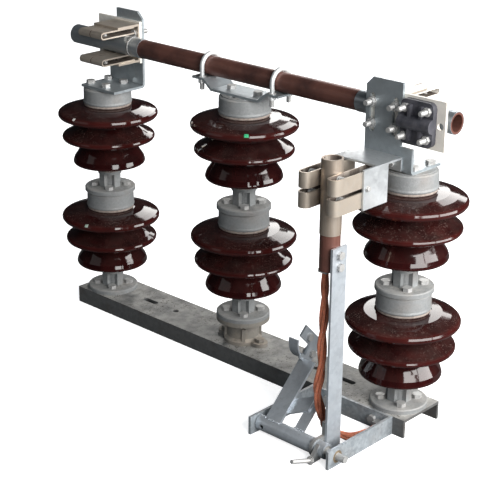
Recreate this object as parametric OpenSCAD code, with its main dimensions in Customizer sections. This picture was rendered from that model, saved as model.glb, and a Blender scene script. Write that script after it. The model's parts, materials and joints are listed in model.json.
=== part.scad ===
// One pole of a centre-rotating, double-break isolator with an earth switch.
// X runs along the base, Z is up. The origin is on top of the base channel,
// on the axis of the rotating stack.

/* [Base channel] */
// Length of the channel
channel_len = 1000; // [980:5:1100]
// Width across the flanges
channel_w = 120; // [112:1:130]
// Height of the channel
channel_h = 40; // [38:1:50]
// Thickness of web and flanges
channel_t = 6; // [4:0.5:8]
// Distance from the centre to each fixing slot
slot_x = 304; // [285:1:320]
// Length of a fixing slot
slot_len = 44; // [30:1:50]
// Width of slots and round holes in the web
slot_w = 14; // [10:0.5:16]
// Distance from the centre to each round hole
hole_x = 218; // [190:1:240]

/* [Insulators] */
// Distance between stack axes
pitch = 440; // [425:1:455]
// Height of one pedestal post insulator
unit_h = 254; // [240:1:265]
// Radius of the pedestal flange
flange_r = 60; // [57:0.5:63]
// Thickness of the pedestal flange
flange_t = 10; // [8:0.5:12]
// Width of the cross-shaped pedestal neck
neck_w = 52; // [44:1:56]
// Thickness of the pedestal neck's ribs
rib_t = 18; // [12:0.5:24]
// Height where the porcelain starts
porcelain_z = 50; // [46:0.5:52]
// Radius of the metal cap
cap_r = 56; // [54:0.5:58]
// Height of the metal cap
cap_h = 38; // [34:0.5:42]
// Thickness of the cap's top
cap_top_t = 10; // [8:0.5:12]
// Radius of the large top shed
shed1_r = 117; // [112:0.5:121]
// Radius of the middle shed
shed2_r = 109; // [104:0.5:113]
// Radius of the lower skirt
shed3_r = 85; // [81:0.5:88]
// Radius of the bolt circle through the flanges
bolt_circle_r = 38; // [36:0.5:40]
// Radius of a flange bolt's shank
bolt_r = 6; // [5:0.5:6.5]

/* [Rotating stack] */
// Height of the bearing housing with its turntable
bearing_h = 62; // [58:0.5:70]
// Radius of the bearing housing
housing_r = 36; // [33:0.5:40]
// Radius of the spindle
spindle_r = 15; // [12:0.5:18]
// Thickness of the turntable plate
turntable_t = 10; // [8:0.5:12]
// Reach of the drive crank from the axis to its hole
crank_reach = 36; // [32:0.5:38]
// Radius of the hole in the drive crank
crank_hole_r = 6; // [5:0.5:7]
// Gap between the housing and the turntable
turntable_gap = 0.3; // [0.2:0.05:0.5]

/* [Main contact] */
// Height of the tube axis above the outer caps
contact_h = 107; // [104:0.5:110]
// Outer radius of the copper tube
tube_r = 21; // [20:0.25:22]
// Wall of the copper tube
tube_wall = 4; // [3:0.25:5]
// Length of the tube past the outer stacks' axes
tube_over = 100; // [88:1:120]
// Wall of the plated sleeves at the tube's ends
sleeve_t = 1; // [0.75:0.25:1.5]
// Length of each plated sleeve
sleeve_len = 228; // [200:1:250]
// Half length of the saddle plate
saddle_half = 124; // [118:1:130]
// Half length of the saddle's flat middle
saddle_flat_half = 66; // [60:1:70]
// Width of the saddle plate
saddle_w = 68; // [66:1:74]
// Thickness of the saddle plate
saddle_t = 5; // [4:0.5:6]
// Distance from the axis to each U-bolt
ubolt_x = 101; // [98:1:106]
// Radius of the U-bolt's rod
ubolt_r = 5; // [4:0.5:5.5]

/* [Fixed contacts] */
// Left edge of the bracket, from the stack axis
bracket_x0 = -78; // [-84:1:-74]
// Right edge of the bracket's foot
bracket_x1 = 36; // [34:1:42]
// Right edge of the narrow upper plate
bracket_x2 = 8; // [6:1:12]
// Height of the bracket's step
bracket_step = 52; // [44:1:56]
// Height of the bracket
bracket_h = 176; // [170:1:184]
// Distance from the stack axis to the bracket's outer face
bracket_y = 48; // [47:0.5:51]
// Thickness of the bracket
bracket_t = 6; // [5:0.5:7]
// Inner radius of the bracket's bend
bend_r = 4; // [2:0.5:5]
// Length of the adjusting slots
adjust_len = 76; // [68:1:80]
// Width of the adjusting slots
adjust_w = 13; // [11:0.5:15]
// Distance between the adjusting slots
adjust_gap = 55; // [50:1:58]
// Vertical distance between the carrier bolts
carrier_bolt_gap = 42; // [38:1:44]
// Half height of the finger carrier
carrier_half = 44; // [43:0.5:47]
// Thickness of the finger carrier
carrier_t = 5; // [4:0.5:6]
// Reach of the carrier's flanges past the tube axis
carrier_reach = 30; // [24:1:34]
// Reach of the fingers past the tube axis
finger_reach = 78; // [70:1:84]
// Thickness of a finger strip
finger_t = 3; // [2:0.25:3.5]
// Width of a main finger strip
finger_w = 37; // [30:0.5:38]
// Running gap between fingers and tube
contact_gap = 0.3; // [0.2:0.05:0.5]

/* [Terminals] */
// Thickness of the terminal pads
pad_t = 6; // [5:0.5:6.5]
// Height of the terminal pads
pad_h = 96; // [90:1:100]
// Reach of the right terminal pad from the stack axis
pad_reach = 103; // [98:1:115]
// Reach of the left terminal pad from the stack axis
left_pad_reach = 64; // [58:1:75]
// Radius of the free terminal hole
pad_hole_r = 7; // [5:0.5:8]
// Width of the clamp connector
clamp_w = 74; // [70:1:76]
// Height of the clamp connector
clamp_h = 86; // [80:1:90]
// Thickness of the clamp connector
clamp_t = 12; // [10:0.5:16]

/* [Earth contact] */
// Distance of the earth contact from the right stack's axis, towards the middle
earth_offset = 38; // [34:1:40]
// Height of the main tube's axis above the earth contact's top plate
earth_drop = 74; // [72:1:76]
// Distance of the earth tube from the stack row
earth_y = 192; // [188:1:196]
// Width of the earth contact bracket
earth_bracket_w = 104; // [96:0.5:106]
// Depth of its top plate
earth_top_depth = 75; // [70:1:80]
// Height of its cheeks
cheek_h = 79; // [76:1:80]
// Thickness of its plate
earth_bracket_t = 4; // [3:0.5:5]
// Height of an earth finger strip
earth_finger_w = 31; // [28:0.5:33]
// Reach of the earth fingers past the earth tube's axis
earth_finger_reach = 48; // [42:1:54]
// Outer radius of the earth tube
earth_tube_r = 20; // [19:0.25:21]
// Height of the earth tube's top
earth_tube_top = 561; // [556:1:566]
// Length of the earth tube
earth_tube_len = 221; // [210:1:230]
// Length of its plated sleeve
earth_sleeve_len = 148; // [140:1:160]

/* [Earth frame and shaft] */
// Left face of the earth frame
frame_x0 = 262; // [258:1:266]
// Right face of the earth frame
frame_x1 = 472; // [470:1:478]
// Front end of the earth frame
frame_y = 262; // [258:1:270]
// Thickness of the frame's flat bars
frame_t = 6; // [5:0.5:8]
// Distance of the shaft axis from the stack row
shaft_y = 234; // [232:1:238]
// Depth of the shaft axis below the channel's top
shaft_z = 20; // [19:0.5:22]
// Radius of the torque pipe
pipe_r = 16; // [14:0.5:17]
// Bore of the torque pipe
pipe_bore_r = 12; // [10:0.5:13]
// Right end of the torque pipe
pipe_x1 = 446; // [442:1:452]
// Radius of the vent holes near the pipe's ends
vent_r = 5; // [3:0.5:6]
// Radius of the pivot pins
pin_r = 8; // [6:0.5:9]
// Length of the plain shaft end outside the right bar
shaft_end_len = 20; // [16:1:24]
// Radius of the plain shaft end
shaft_end_r = 7.5; // [5:0.5:7.5]
// Radial running clearance of pins and spindle
running = 0.05; // [0.02:0.01:0.1]
// Width of the blade's steel angle
angle_w = 42; // [38:1:44]
// Thickness of the blade's steel angle
angle_t = 5; // [4:0.5:6]
// Width of the angle's second leg
angle_leg = 26; // [20:1:30]
// Height of the angle's top
angle_top = 391; // [388:1:398]
// Length of the adjusting bolt in front of the shaft
stop_len = 60; // [50:1:66]

/* [Interlock] */
// Place of the long arm along the shaft
arm_x = 285; // [283:1:290]
// Length of the long arm
arm_len = 184; // [175:1:190]
// Elevation of the arm above the horizontal
arm_angle = 44; // [42:0.5:46]
// Depth of the long arm's leg
arm_w = 26; // [22:0.5:28]
// Width of the long arm's flange
arm_flange_w = 38; // [34:1:42]
// Thickness of the arms
arm_t = 6; // [5:0.5:8]
// Place of the short bar along the shaft
bar_x = 352; // [346:1:356]
// Length of the short bar
bar_len = 92; // [85:1:98]
// Width of the short bar
bar_w = 22; // [18:1:26]
// Reach of the head plate past the arm's end
head_reach = 24; // [20:1:28]
// Height of the head plate above the arm's middle
head_rise = 60; // [54:1:64]
// Width of the curved catch
catch_w = 20; // [14:1:20]
// Outer radius of the curved catch
catch_r = 45; // [42:1:48]

/* [Earth braid] */
// Radius of the copper braid
braid_r = 7; // [6:0.5:8]

/* [Hidden] */
$fn = 48;

// Colours
galvanised = [0.70, 0.71, 0.69];
zinc = [0.66, 0.72, 0.76];
porcelain_brown = [0.22, 0.07, 0.06];
copper = [0.36, 0.17, 0.13];
plated = [0.66, 0.62, 0.57];
dark_casting = [0.33, 0.33, 0.36];
bolt_steel = [0.78, 0.78, 0.76];
braid_copper = [0.66, 0.30, 0.20];

// Heights and places worked out from the driving sizes
stack_h = 2 * unit_h;
cap_z = unit_h - cap_h;
cap_inside_z = unit_h - cap_top_t;
tube_half = pitch + tube_over;
tube_z = stack_h + contact_h;
tube_out_r = tube_r + sleeve_t;
middle_top = bearing_h + stack_h;
hole_r = bolt_r + 0.5;
carrier_x = (bracket_x0 + bracket_x2) / 2;
carrier_w = bracket_x2 - bracket_x0 - 4;
earth_x = pitch - earth_offset;
earth_top_z = tube_z - earth_drop;
plate_y = bracket_y - bracket_t;
hairpin_h = carrier_half - carrier_t - tube_out_r - contact_gap;
earth_out_r = earth_tube_r + sleeve_t;
cheek_in = earth_bracket_w / 2 - earth_bracket_t;
earth_hairpin_h = cheek_in - earth_out_r - contact_gap;
cheek_back = bracket_y + 42;
cheek_front = bracket_y + 115;
earth_finger_end = earth_y + earth_finger_reach;
earth_finger_start = cheek_back + 8;
angle_x = earth_x + earth_tube_r;
front_flange_y = channel_w / 2;
bush_r = pin_r + 5;
foot_t = 8;

// A hexagon bolt head or nut, standing on z = 0
module hex(af, t) {
    cylinder(h = t, r = af / sqrt(3), $fn = 6);
}

// A bolt with its head at the top, its nut at the bottom and the shank between
module bolt(grip, r, tail = 3) {
    hex(r * 3, r * 1.3);
    translate([0, 0, -grip - r * 1.3]) hex(r * 3, r * 1.3);
    translate([0, 0, -grip - r * 1.3 - tail]) cylinder(h = grip + r * 2.6 + tail - 1, r = r, $fn = 24);
}

// A slot with round ends, cut along X
module slot(len, w, depth) {
    for (s = [-1, 1]) translate([s * (len - w) / 2, 0, 0]) cylinder(h = depth, r = w / 2, center = true);
    cube([len - w, w, depth], center = true);
}

// Children at four places on the bolt circle
module on_bolt_circle(turn) {
    for (a = [0 : 90 : 270]) rotate([0, 0, a + turn]) translate([bolt_circle_r, 0, 0]) children();
}

// Points of a round rim: centre, radius, first and last angle
function rim(c, r, a0, a1, n = 6) =
    [for (i = [0 : n]) [c[0] + r * cos(a0 + (a1 - a0) * i / n), c[1] + r * sin(a0 + (a1 - a0) * i / n)]];

// Base

module base_channel() {
    color(galvanised) difference() {
        translate([-channel_len / 2, -channel_w / 2, -channel_h]) cube([channel_len, channel_w, channel_h]);
        translate([-channel_len / 2 - 1, -channel_w / 2 + channel_t, -channel_h - 1])
            cube([channel_len + 2, channel_w - 2 * channel_t, channel_h - channel_t + 1]);
        for (s = [-1, 1]) {
            translate([s * slot_x, 0, 0]) slot(slot_len, slot_w, channel_t * 3);
            translate([s * hole_x, 0, 0]) cylinder(h = channel_t * 3, r = slot_w / 2, center = true);
            translate([s * pitch, 0, 0]) on_bolt_circle(45)
                cylinder(h = channel_t * 3, r = hole_r, center = true);
            translate([s * housing_foot, 0, 0]) cylinder(h = channel_t * 3, r = hole_r, center = true);
        }
        cylinder(h = channel_t * 3, r = spindle_r + 3, center = true);
        for (x = frame_bolt_xs) translate([x, -front_flange_y, -channel_h / 2])
            rotate([90, 0, 0]) cylinder(h = channel_t * 3, r = hole_r, center = true);
    }
}

housing_foot = housing_r + 17;
housing_h = bearing_h - turntable_t - turntable_gap;
frame_bolt_xs = [frame_x0 + 45, frame_x1 - 45];

module bearing_housing() {
    color(galvanised) difference() {
        union() {
            rotate_extrude() polygon([[0, 0], [housing_r + 7, 0], [housing_r + 7, 8], [housing_r, 14],
                [housing_r, housing_h - 6], [housing_r - 5, housing_h], [0, housing_h]]);
            for (s = [-1, 1]) translate([s * housing_foot, 0, 0]) cylinder(h = 9, r = 17);
            translate([-housing_foot, -17, 0]) cube([2 * housing_foot, 34, 9]);
            for (a = [45 : 90 : 315]) rotate([0, 0, a]) translate([housing_r - 6, -4, 0])
                cube([12, 8, housing_h - 12]);
        }
        cylinder(h = 3 * housing_h, r = spindle_r + running, center = true);
        for (s = [-1, 1]) translate([s * housing_foot, 0, 0]) cylinder(h = 40, r = hole_r, center = true);
    }
}

module bearing_bolts() {
    color(bolt_steel) for (s = [-1, 1]) translate([s * housing_foot, 0, 9]) bolt(9 + channel_t, bolt_r);
}

// Post insulators

module pedestal(z, turn) {
    translate([0, 0, z]) rotate([0, 0, turn]) difference() {
        union() {
            rotate_extrude() polygon([[0, 0], [flange_r, 0], [flange_r, flange_t - 2],
                [flange_r - 2, flange_t], [0, flange_t]]);
            for (a = [0, 90]) rotate([0, 0, a]) translate([-neck_w / 2, -rib_t / 2, 0])
                cube([neck_w, rib_t, porcelain_z]);
            cylinder(h = porcelain_z, r = neck_w * 0.36);
            translate([0, 0, porcelain_z - 8]) cylinder(h = 8, r = neck_w / 2 + 2);
        }
        on_bolt_circle(45) cylinder(h = 4 * flange_t, r = hole_r, center = true);
    }
}

// One porcelain body with three sheds, from the pedestal to the inside of the cap
module porcelain(z) {
    rim3_z = porcelain_z + 24;
    rim2_z = (porcelain_z + cap_z) / 2 + 1;
    rim1_z = cap_z - 27;
    core_r = neck_w / 2 + 36;
    color(porcelain_brown) translate([0, 0, z]) rotate_extrude($fn = 72) polygon(concat(
        [[0, porcelain_z], [neck_w / 2 + 4, porcelain_z], [neck_w / 2 + 12, porcelain_z + 14],
            [shed3_r - 20, rim3_z - 4]],
        rim([shed3_r - 6, rim3_z], 6, -100, 25),
        [[shed3_r - 3, rim3_z + 10], [shed3_r - 11, rim3_z + 22], [core_r + 4, rim2_z - 25],
            [core_r, rim2_z - 20], [core_r + 1, rim2_z - 14], [shed2_r - 28, rim2_z - 8]],
        rim([shed2_r - 7, rim2_z], 7, -105, 62),
        [[shed2_r - 14, rim2_z + 11], [shed2_r - 24, rim2_z + 17], [core_r + 10, rim2_z + 24],
            [core_r + 4, rim2_z + 30], [core_r + 5, rim1_z - 17], [shed1_r - 30, rim1_z - 10]],
        rim([shed1_r - 9, rim1_z], 9, -105, 66),
        [[shed1_r - 20, rim1_z + 13], [shed1_r - 38, rim1_z + 18], [cap_r + 2, cap_z - 7],
            [cap_r - 2, cap_z - 6], [cap_r - 2, cap_z], [cap_r - 5, cap_z],
            [cap_r - 5, cap_inside_z], [0, cap_inside_z]]));
}

// Metal cap with a raised pad that the next flange stands on
module cap(z, turn) {
    translate([0, 0, z]) difference() {
        rotate_extrude() polygon([[0, cap_inside_z], [cap_r - 5, cap_inside_z], [cap_r - 5, cap_z],
            [cap_r, cap_z], [cap_r + 1, cap_z + 3], [cap_r, cap_z + 7], [cap_r - 0.5, unit_h - 5],
            [cap_r - 3, unit_h - cap_pad_h], [cap_r - 6, unit_h - cap_pad_h], [cap_r - 6, unit_h],
            [0, unit_h]]);
        translate([0, 0, unit_h]) on_bolt_circle(turn)
            cylinder(h = 2 * cap_top_t + 8, r = hole_r, center = true);
    }
}

cap_pad_h = 2.5;

// Bolts of a stack: through the lower flange, then through the joint of the two units
module stack_bolts(z, turn, below) {
    color(bolt_steel) {
        translate([0, 0, z + flange_t]) on_bolt_circle(turn) stud(flange_t + below, bolt_r);
        if (below > turntable_t) translate([0, 0, z - channel_t - bolt_r * 1.3]) on_bolt_circle(turn)
            hex(bolt_r * 3, bolt_r * 1.3);
        translate([0, 0, z + unit_h + flange_t]) on_bolt_circle(turn)
            stud(flange_t + cap_top_t - 0.5, bolt_r);
    }
}

// A hexagon head with a shank below it
module stud(len, r) {
    hex(r * 3, r * 1.3);
    translate([0, 0, -len]) cylinder(h = len + r, r = r, $fn = 24);
}

module pedestals(x, z, turn) {
    color(galvanised) translate([x, 0, 0]) for (k = [0, 1]) pedestal(z + k * unit_h, turn);
}

module caps(x, z, turn, top_turn) {
    color(galvanised) translate([x, 0, 0]) {
        cap(z, turn);
        cap(z + unit_h, top_turn);
    }
}

// Rotating stack

module rotor_spindle() {
    color(bolt_steel) {
        translate([0, 0, -crank_z - crank_t - 3])
            cylinder(h = crank_z + crank_t + 3 + bearing_h - turntable_t, r = spindle_r);
        translate([0, 0, -channel_t - 8]) cylinder(h = 6, r = spindle_r + 5);
    }
}

module turntable() {
    color(galvanised) translate([0, 0, bearing_h - turntable_t]) difference() {
        cylinder(h = turntable_t, r = flange_r);
        on_bolt_circle(45) cylinder(h = 40, r = hole_r, center = true);
    }
}

// Crank under the web, where the drive rod takes hold
module drive_crank() {
    color(galvanised) translate([0, 0, -crank_z - crank_t]) difference() {
        union() {
            cylinder(h = crank_t, r = spindle_r + 7);
            translate([-crank_reach, -crank_end_r, 0]) cube([crank_reach, 2 * crank_end_r, crank_t]);
            translate([-crank_reach, 0, 0]) cylinder(h = crank_t, r = crank_end_r);
        }
        cylinder(h = 40, r = spindle_r, center = true);
        translate([-crank_reach, 0, 0]) cylinder(h = 40, r = crank_hole_r, center = true);
    }
}

crank_t = 8;
crank_z = channel_t + 12;
crank_end_r = crank_hole_r + 7;

module tube_saddle() {
    top = tube_z - tube_r;
    foot = middle_top;
    rise = saddle_flat_half + (top - foot);
    color(zinc) difference() {
        translate([0, saddle_w / 2, 0]) rotate([90, 0, 0]) linear_extrude(saddle_w) polygon([
            [-saddle_half, top], [-rise, top], [-saddle_flat_half, foot + saddle_t],
            [saddle_flat_half, foot + saddle_t], [rise, top], [saddle_half, top],
            [saddle_half, top - saddle_t], [rise + 2, top - saddle_t], [saddle_flat_half + 3, foot],
            [-saddle_flat_half - 3, foot], [-rise - 2, top - saddle_t], [-saddle_half, top - saddle_t]]);
        for (s = [-1, 1]) {
            translate([s * bolt_circle_r, 0, foot]) cylinder(h = 30, r = hole_r, center = true);
            for (t = [-1, 1]) translate([s * ubolt_x, t * ubolt_y, top])
                cylinder(h = 30, r = ubolt_r + 0.3, center = true);
        }
    }
}

ubolt_y = tube_r + ubolt_r + contact_gap;

module saddle_bolts() {
    color(bolt_steel) for (s = [-1, 1]) translate([s * bolt_circle_r, 0, middle_top + saddle_t])
        stud(saddle_t + cap_top_t - 1, bolt_r);
}

module tube_ubolts() {
    nut_z = tube_z - tube_r - saddle_t;
    color(bolt_steel) for (s = [-1, 1]) translate([s * ubolt_x, 0, 0]) {
        translate([0, 0, tube_z]) rotate([90, 0, 90]) rotate_extrude(angle = 180)
            translate([ubolt_y, 0]) circle(r = ubolt_r, $fn = 24);
        for (t = [-1, 1]) translate([0, t * ubolt_y, 0]) {
            translate([0, 0, nut_z - 22]) cylinder(h = tube_z - nut_z + 22, r = ubolt_r, $fn = 24);
            translate([0, 0, nut_z - 8]) hex(ubolt_r * 3, 8);
        }
    }
}

module main_tube() {
    color(copper) translate([-tube_half, 0, tube_z]) rotate([0, 90, 0]) difference() {
        cylinder(h = 2 * tube_half, r = tube_r);
        translate([0, 0, -1]) cylinder(h = 2 * tube_half + 2, r = tube_r - tube_wall);
    }
}

module tube_ends() {
    color(plated) for (s = [-1, 1]) translate([s * tube_half, 0, tube_z]) rotate([0, -s * 90, 0])
        difference() {
            cylinder(h = sleeve_len, r = tube_out_r);
            translate([0, 0, -1]) cylinder(h = sleeve_len + 2, r = tube_r);
        }
}

// Fixed contacts, drawn round the stack axis with the plate on the -Y side

// Puts its children on an outer stack: the left one is turned half round
module at_stack(side) {
    translate([side * pitch, 0, stack_h]) rotate([0, 0, side < 0 ? 180 : 0]) children();
}

// Bent plate; the right one also has the holes for the earth contact
module contact_bracket(earthed) {
    corner = 16;
    bend = bend_r + bracket_t;
    color(zinc) difference() {
        union() {
            translate([bracket_x0, bend - bracket_y, 0])
                cube([bracket_x1 - bracket_x0, 2 * bracket_y - bend, bracket_t]);
            translate([0, -plate_y, 0]) rotate([90, 0, 0]) linear_extrude(bracket_t) polygon([
                [bracket_x0, bend], [bracket_x1, bend], [bracket_x1, bracket_step],
                [bracket_x2, bracket_step], [bracket_x2, bracket_h], [bracket_x0 + corner, bracket_h],
                [bracket_x0, bracket_h - corner]]);
            translate([bracket_x0, bend - bracket_y, bend]) rotate([0, 90, 0]) rotate([0, 0, -90])
                rotate_extrude(angle = 90) translate([bend_r, 0])
                    square([bracket_t, bracket_x1 - bracket_x0]);
        }
        on_bolt_circle(45) cylinder(h = 40, r = hole_r, center = true);
        for (s = [-1, 1]) translate([carrier_x + s * adjust_gap / 2, -bracket_y, contact_h])
            rotate([0, 90, 90]) slot(adjust_len, adjust_w, 40);
        if (earthed) for (s = [-1, 1])
            translate([s * earth_bolt_x - earth_offset, -bracket_y, earth_bolt_z - stack_h])
                rotate([90, 0, 0]) cylinder(h = 40, r = earth_bolt_r + 0.3, center = true);
    }
}

earth_bolt_r = 4;
earth_bolt_x = 30;
earth_bolt_z = earth_top_z - 16;
carrier_y = plate_y - pad_t;

// Channel that holds the fingers, open away from the bracket
module finger_carrier() {
    depth = carrier_y + carrier_reach;
    color(plated) translate([carrier_x - carrier_w / 2, -carrier_y, contact_h]) difference() {
        rotate([90, 0, 90]) linear_extrude(carrier_w) polygon([
            [0, -carrier_half], [depth, -carrier_half], [depth, -carrier_half + carrier_t],
            [carrier_t, -carrier_half + carrier_t], [carrier_t, carrier_half - carrier_t],
            [depth, carrier_half - carrier_t], [depth, carrier_half], [0, carrier_half]]);
        for (s = [-1, 1], t = [-1, 1])
            translate([carrier_w / 2 + s * adjust_gap / 2, 0, t * carrier_bolt_gap / 2])
                rotate([90, 0, 0]) cylinder(h = 30, r = 5.5, center = true);
    }
}

// A hairpin strip: legs along +Y, bend at the far end, lying between z = 0 and z = h
module hairpin(y0, y1, h, w) {
    r = h / 2;
    translate([0, y1 - r, r]) rotate([90, 0, 90]) translate([0, 0, -w / 2]) linear_extrude(w) difference() {
        union() {
            circle(r = r);
            translate([y0 - y1 + r, -r]) square([y1 - r - y0, h]);
        }
        circle(r = r - finger_t);
        translate([y0 - y1 + r - 1, -r + finger_t]) square([y1 - r - y0 + 1, h - 2 * finger_t]);
    }
}

module contact_fingers() {
    start = -carrier_y + carrier_t + 9;
    color(plated) for (s = [-1, 1]) translate([carrier_x + s * (finger_w + 3) / 2, 0, contact_h]) {
        translate([0, 0, tube_out_r + contact_gap]) hairpin(start, finger_reach, hairpin_h, finger_w);
        translate([0, 0, -tube_out_r - contact_gap - hairpin_h])
            hairpin(start, finger_reach, hairpin_h, finger_w);
    }
}

contact_grip = bracket_t + pad_t + carrier_t;

module contact_bolts() {
    color(bolt_steel) {
        translate([0, 0, bracket_t]) on_bolt_circle(45) stud(bracket_t + cap_top_t - 1, bolt_r);
        for (s = [-1, 1], t = [-1, 1])
            translate([carrier_x + s * adjust_gap / 2, -bracket_y, contact_h + t * carrier_bolt_gap / 2])
                rotate([90, 0, 0]) {
                    cylinder(h = 1.5, r = 10);
                    translate([0, 0, 1.5]) hex(15, 7);
                    translate([0, 0, -contact_grip]) cylinder(h = contact_grip + 22, r = 5);
                    translate([0, 0, -contact_grip - 4]) hex(15, 4);
                }
    }
}

// Flat pad, held between the bracket and the carrier, that carries the line clamp
module terminal_pad(reach, clamped) {
    x0 = carrier_x - carrier_w / 2;
    color(plated) difference() {
        translate([x0, -plate_y, contact_h - pad_h / 2]) cube([reach - x0, pad_t, pad_h]);
        translate([reach - pad_hole_edge, -plate_y, contact_h]) rotate([90, 0, 0])
            cylinder(h = 40, r = pad_hole_r, center = true);
        for (s = [-1, 1], t = [-1, 1])
            translate([carrier_x + s * adjust_gap / 2, -plate_y, contact_h + t * carrier_bolt_gap / 2])
                rotate([90, 0, 0]) cylinder(h = 40, r = 5.5, center = true);
        if (clamped) for (s = [-1, 1], t = [-1, 1])
            translate([clamp_x + s * clamp_bolt_x, -plate_y, contact_h + t * clamp_bolt_z])
                rotate([90, 0, 0]) cylinder(h = 40, r = 5.5, center = true);
    }
}

pad_hole_edge = 11;
clamp_x = bracket_x2 + clamp_w / 2 + 1;
clamp_bolt_x = 25;
clamp_bolt_z = 27;

clamp_corner_r = 12;
clamp_barrel_r = 14;
clamp_rib_x = 13;
clamp_rib_t = 6;

// Cast clamp: rounded plate, barrel for the conductor and two ribs between the bolts
module terminal_clamp() {
    w = clamp_w - 2 * clamp_corner_r;
    h = clamp_h - 2 * clamp_corner_r;
    color(dark_casting) at_stack(1) translate([clamp_x, -plate_y, contact_h]) difference() {
        union() {
            translate([-clamp_w / 2, -clamp_t, -h / 2]) cube([clamp_w, clamp_t, h]);
            translate([-w / 2, -clamp_t, -clamp_h / 2]) cube([w, clamp_t, clamp_h]);
            for (s = [-1, 1], t = [-1, 1]) translate([s * w / 2, 0, t * h / 2]) rotate([90, 0, 0])
                cylinder(h = clamp_t, r = clamp_corner_r);
            translate([-clamp_w / 2, -clamp_t, 0]) rotate([0, 90, 0])
                cylinder(h = clamp_w, r = clamp_barrel_r);
            for (s = [-1, 1]) translate([s * clamp_rib_x - clamp_rib_t / 2, -clamp_t - 9, -clamp_h / 2 + 8])
                cube([clamp_rib_t, 10, clamp_h - 16]);
        }
        translate([-clamp_w, 0, -clamp_h]) cube([2 * clamp_w, 40, 2 * clamp_h]);
        for (s = [-1, 1], t = [-1, 1]) translate([s * clamp_bolt_x, 0, t * clamp_bolt_z])
            rotate([90, 0, 0]) cylinder(h = 60, r = 5.5, center = true);
    }
}

module clamp_bolts() {
    color(bolt_steel) at_stack(1) for (s = [-1, 1], t = [-1, 1])
        translate([clamp_x + s * clamp_bolt_x, -plate_y, contact_h + t * clamp_bolt_z]) rotate([90, 0, 0]) {
            translate([0, 0, clamp_t]) hex(15, 7);
            translate([0, 0, -pad_t]) cylinder(h = clamp_t + pad_t + 24, r = 5);
            translate([0, 0, -pad_t - 5]) hex(15, 5);
        }
}

// Earth contact

module earth_contact_bracket() {
    t = earth_bracket_t;
    w = earth_bracket_w;
    color(zinc) translate([earth_x, 0, earth_top_z]) difference() {
        union() {
            translate([-w / 2, -bracket_y - earth_top_depth, -t]) cube([w, earth_top_depth, t]);
            translate([-w / 2, -bracket_y - t, -28]) cube([w, t, 28]);
            for (s = [-1, 1]) translate([s * (w - t) / 2 - t / 2, -cheek_front, -cheek_h])
                cube([t, cheek_front - cheek_back, cheek_h]);
        }
        for (s = [-1, 1]) translate([s * earth_bolt_x, -bracket_y, earth_bolt_z - earth_top_z])
            rotate([90, 0, 0]) cylinder(h = 30, r = earth_bolt_r + 0.3, center = true);
    }
}

module earth_bracket_bolts() {
    color(bolt_steel) for (s = [-1, 1])
        translate([earth_x + s * earth_bolt_x, -bracket_y - earth_bracket_t, earth_bolt_z]) rotate([90, 0, 0])
            stud(earth_bracket_t + bracket_t, earth_bolt_r);
}

module earth_contact_fingers() {
    color(plated) translate([earth_x, 0, earth_top_z - cheek_h / 2]) for (s = [-1, 1], k = [-1, 1])
        translate([s * (earth_out_r + contact_gap), 0, k * (earth_finger_w + 8) / 2])
            rotate([0, 0, 180]) rotate([0, s > 0 ? -90 : 90, 0])
                hairpin(earth_finger_start, earth_finger_end, earth_hairpin_h, earth_finger_w);
}

// Earth frame

module strip_x(x0, x1, y) {
    translate([x0, y, -channel_h]) cube([x1 - x0, frame_t, channel_h]);
}

module frame_back_strip() {
    color(galvanised) difference() {
        strip_x(frame_x0 + frame_t, frame_x1 - frame_t, -front_flange_y - frame_t);
        for (x = frame_bolt_xs) translate([x, -front_flange_y, -channel_h / 2])
            rotate([90, 0, 0]) cylinder(h = 40, r = hole_r, center = true);
    }
}

module side_strip(x) {
    color(galvanised) difference() {
        translate([x, -frame_y, -channel_h]) cube([frame_t, frame_y - front_flange_y, channel_h]);
        translate([x, -shaft_y, -shaft_z]) rotate([0, 90, 0]) cylinder(h = 40, r = bush_r, center = true);
    }
}

module frame_bolts() {
    color(bolt_steel) for (x = frame_bolt_xs)
        translate([x, -front_flange_y - frame_t, -channel_h / 2]) rotate([90, 0, 0])
            bolt(frame_t + channel_t, bolt_r);
}

module pivot_bushes() {
    color("peru") for (x = [frame_x0, frame_x1 - frame_t]) translate([x, -shaft_y, -shaft_z])
        rotate([0, 90, 0]) difference() {
            cylinder(h = frame_t, r = bush_r);
            translate([0, 0, -1]) cylinder(h = frame_t + 2, r = pin_r + running);
        }
}

// Earth shaft and blade

module at_shaft(x = 0) {
    translate([x, -shaft_y, -shaft_z]) children();
}

pipe_x0 = frame_x0 + frame_t + 2;
spigot_len = 8;
vent_xs = [pipe_x0 + 16, pipe_x1 - 17];

module torque_pipe() {
    color(galvanised) at_shaft() difference() {
        translate([pipe_x0, 0, 0]) rotate([0, 90, 0]) cylinder(h = pipe_x1 - pipe_x0, r = pipe_r);
        rotate([0, 90, 0]) cylinder(h = frame_x1, r = pipe_bore_r);
        for (x = vent_xs) translate([x, 0, 0]) rotate([90, 0, 0]) cylinder(h = 2 * pipe_r, r = vent_r);
    }
}

// Pins: a spigot that plugs the pipe, a journal that runs in the bush and a free end
module pivot_pins() {
    color(bolt_steel) {
        at_shaft(frame_x0 - 3) rotate([0, 90, 0]) cylinder(h = pipe_x0 - frame_x0 + 3, r = pin_r);
        at_shaft(pipe_x0) rotate([0, 90, 0]) cylinder(h = spigot_len, r = pipe_bore_r);
        at_shaft(pipe_x1 - spigot_len) rotate([0, 90, 0]) cylinder(h = spigot_len, r = pipe_bore_r);
        at_shaft(pipe_x1) rotate([0, 90, 0]) cylinder(h = frame_x1 + 0.5 - pipe_x1, r = pin_r);
        at_shaft(frame_x1 + 0.5) rotate([0, 90, 0]) cylinder(h = shaft_end_len, r = shaft_end_r);
    }
}

stop_r = 4;
stop_place = [-32, -12];
stop_turn = 20;

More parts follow.
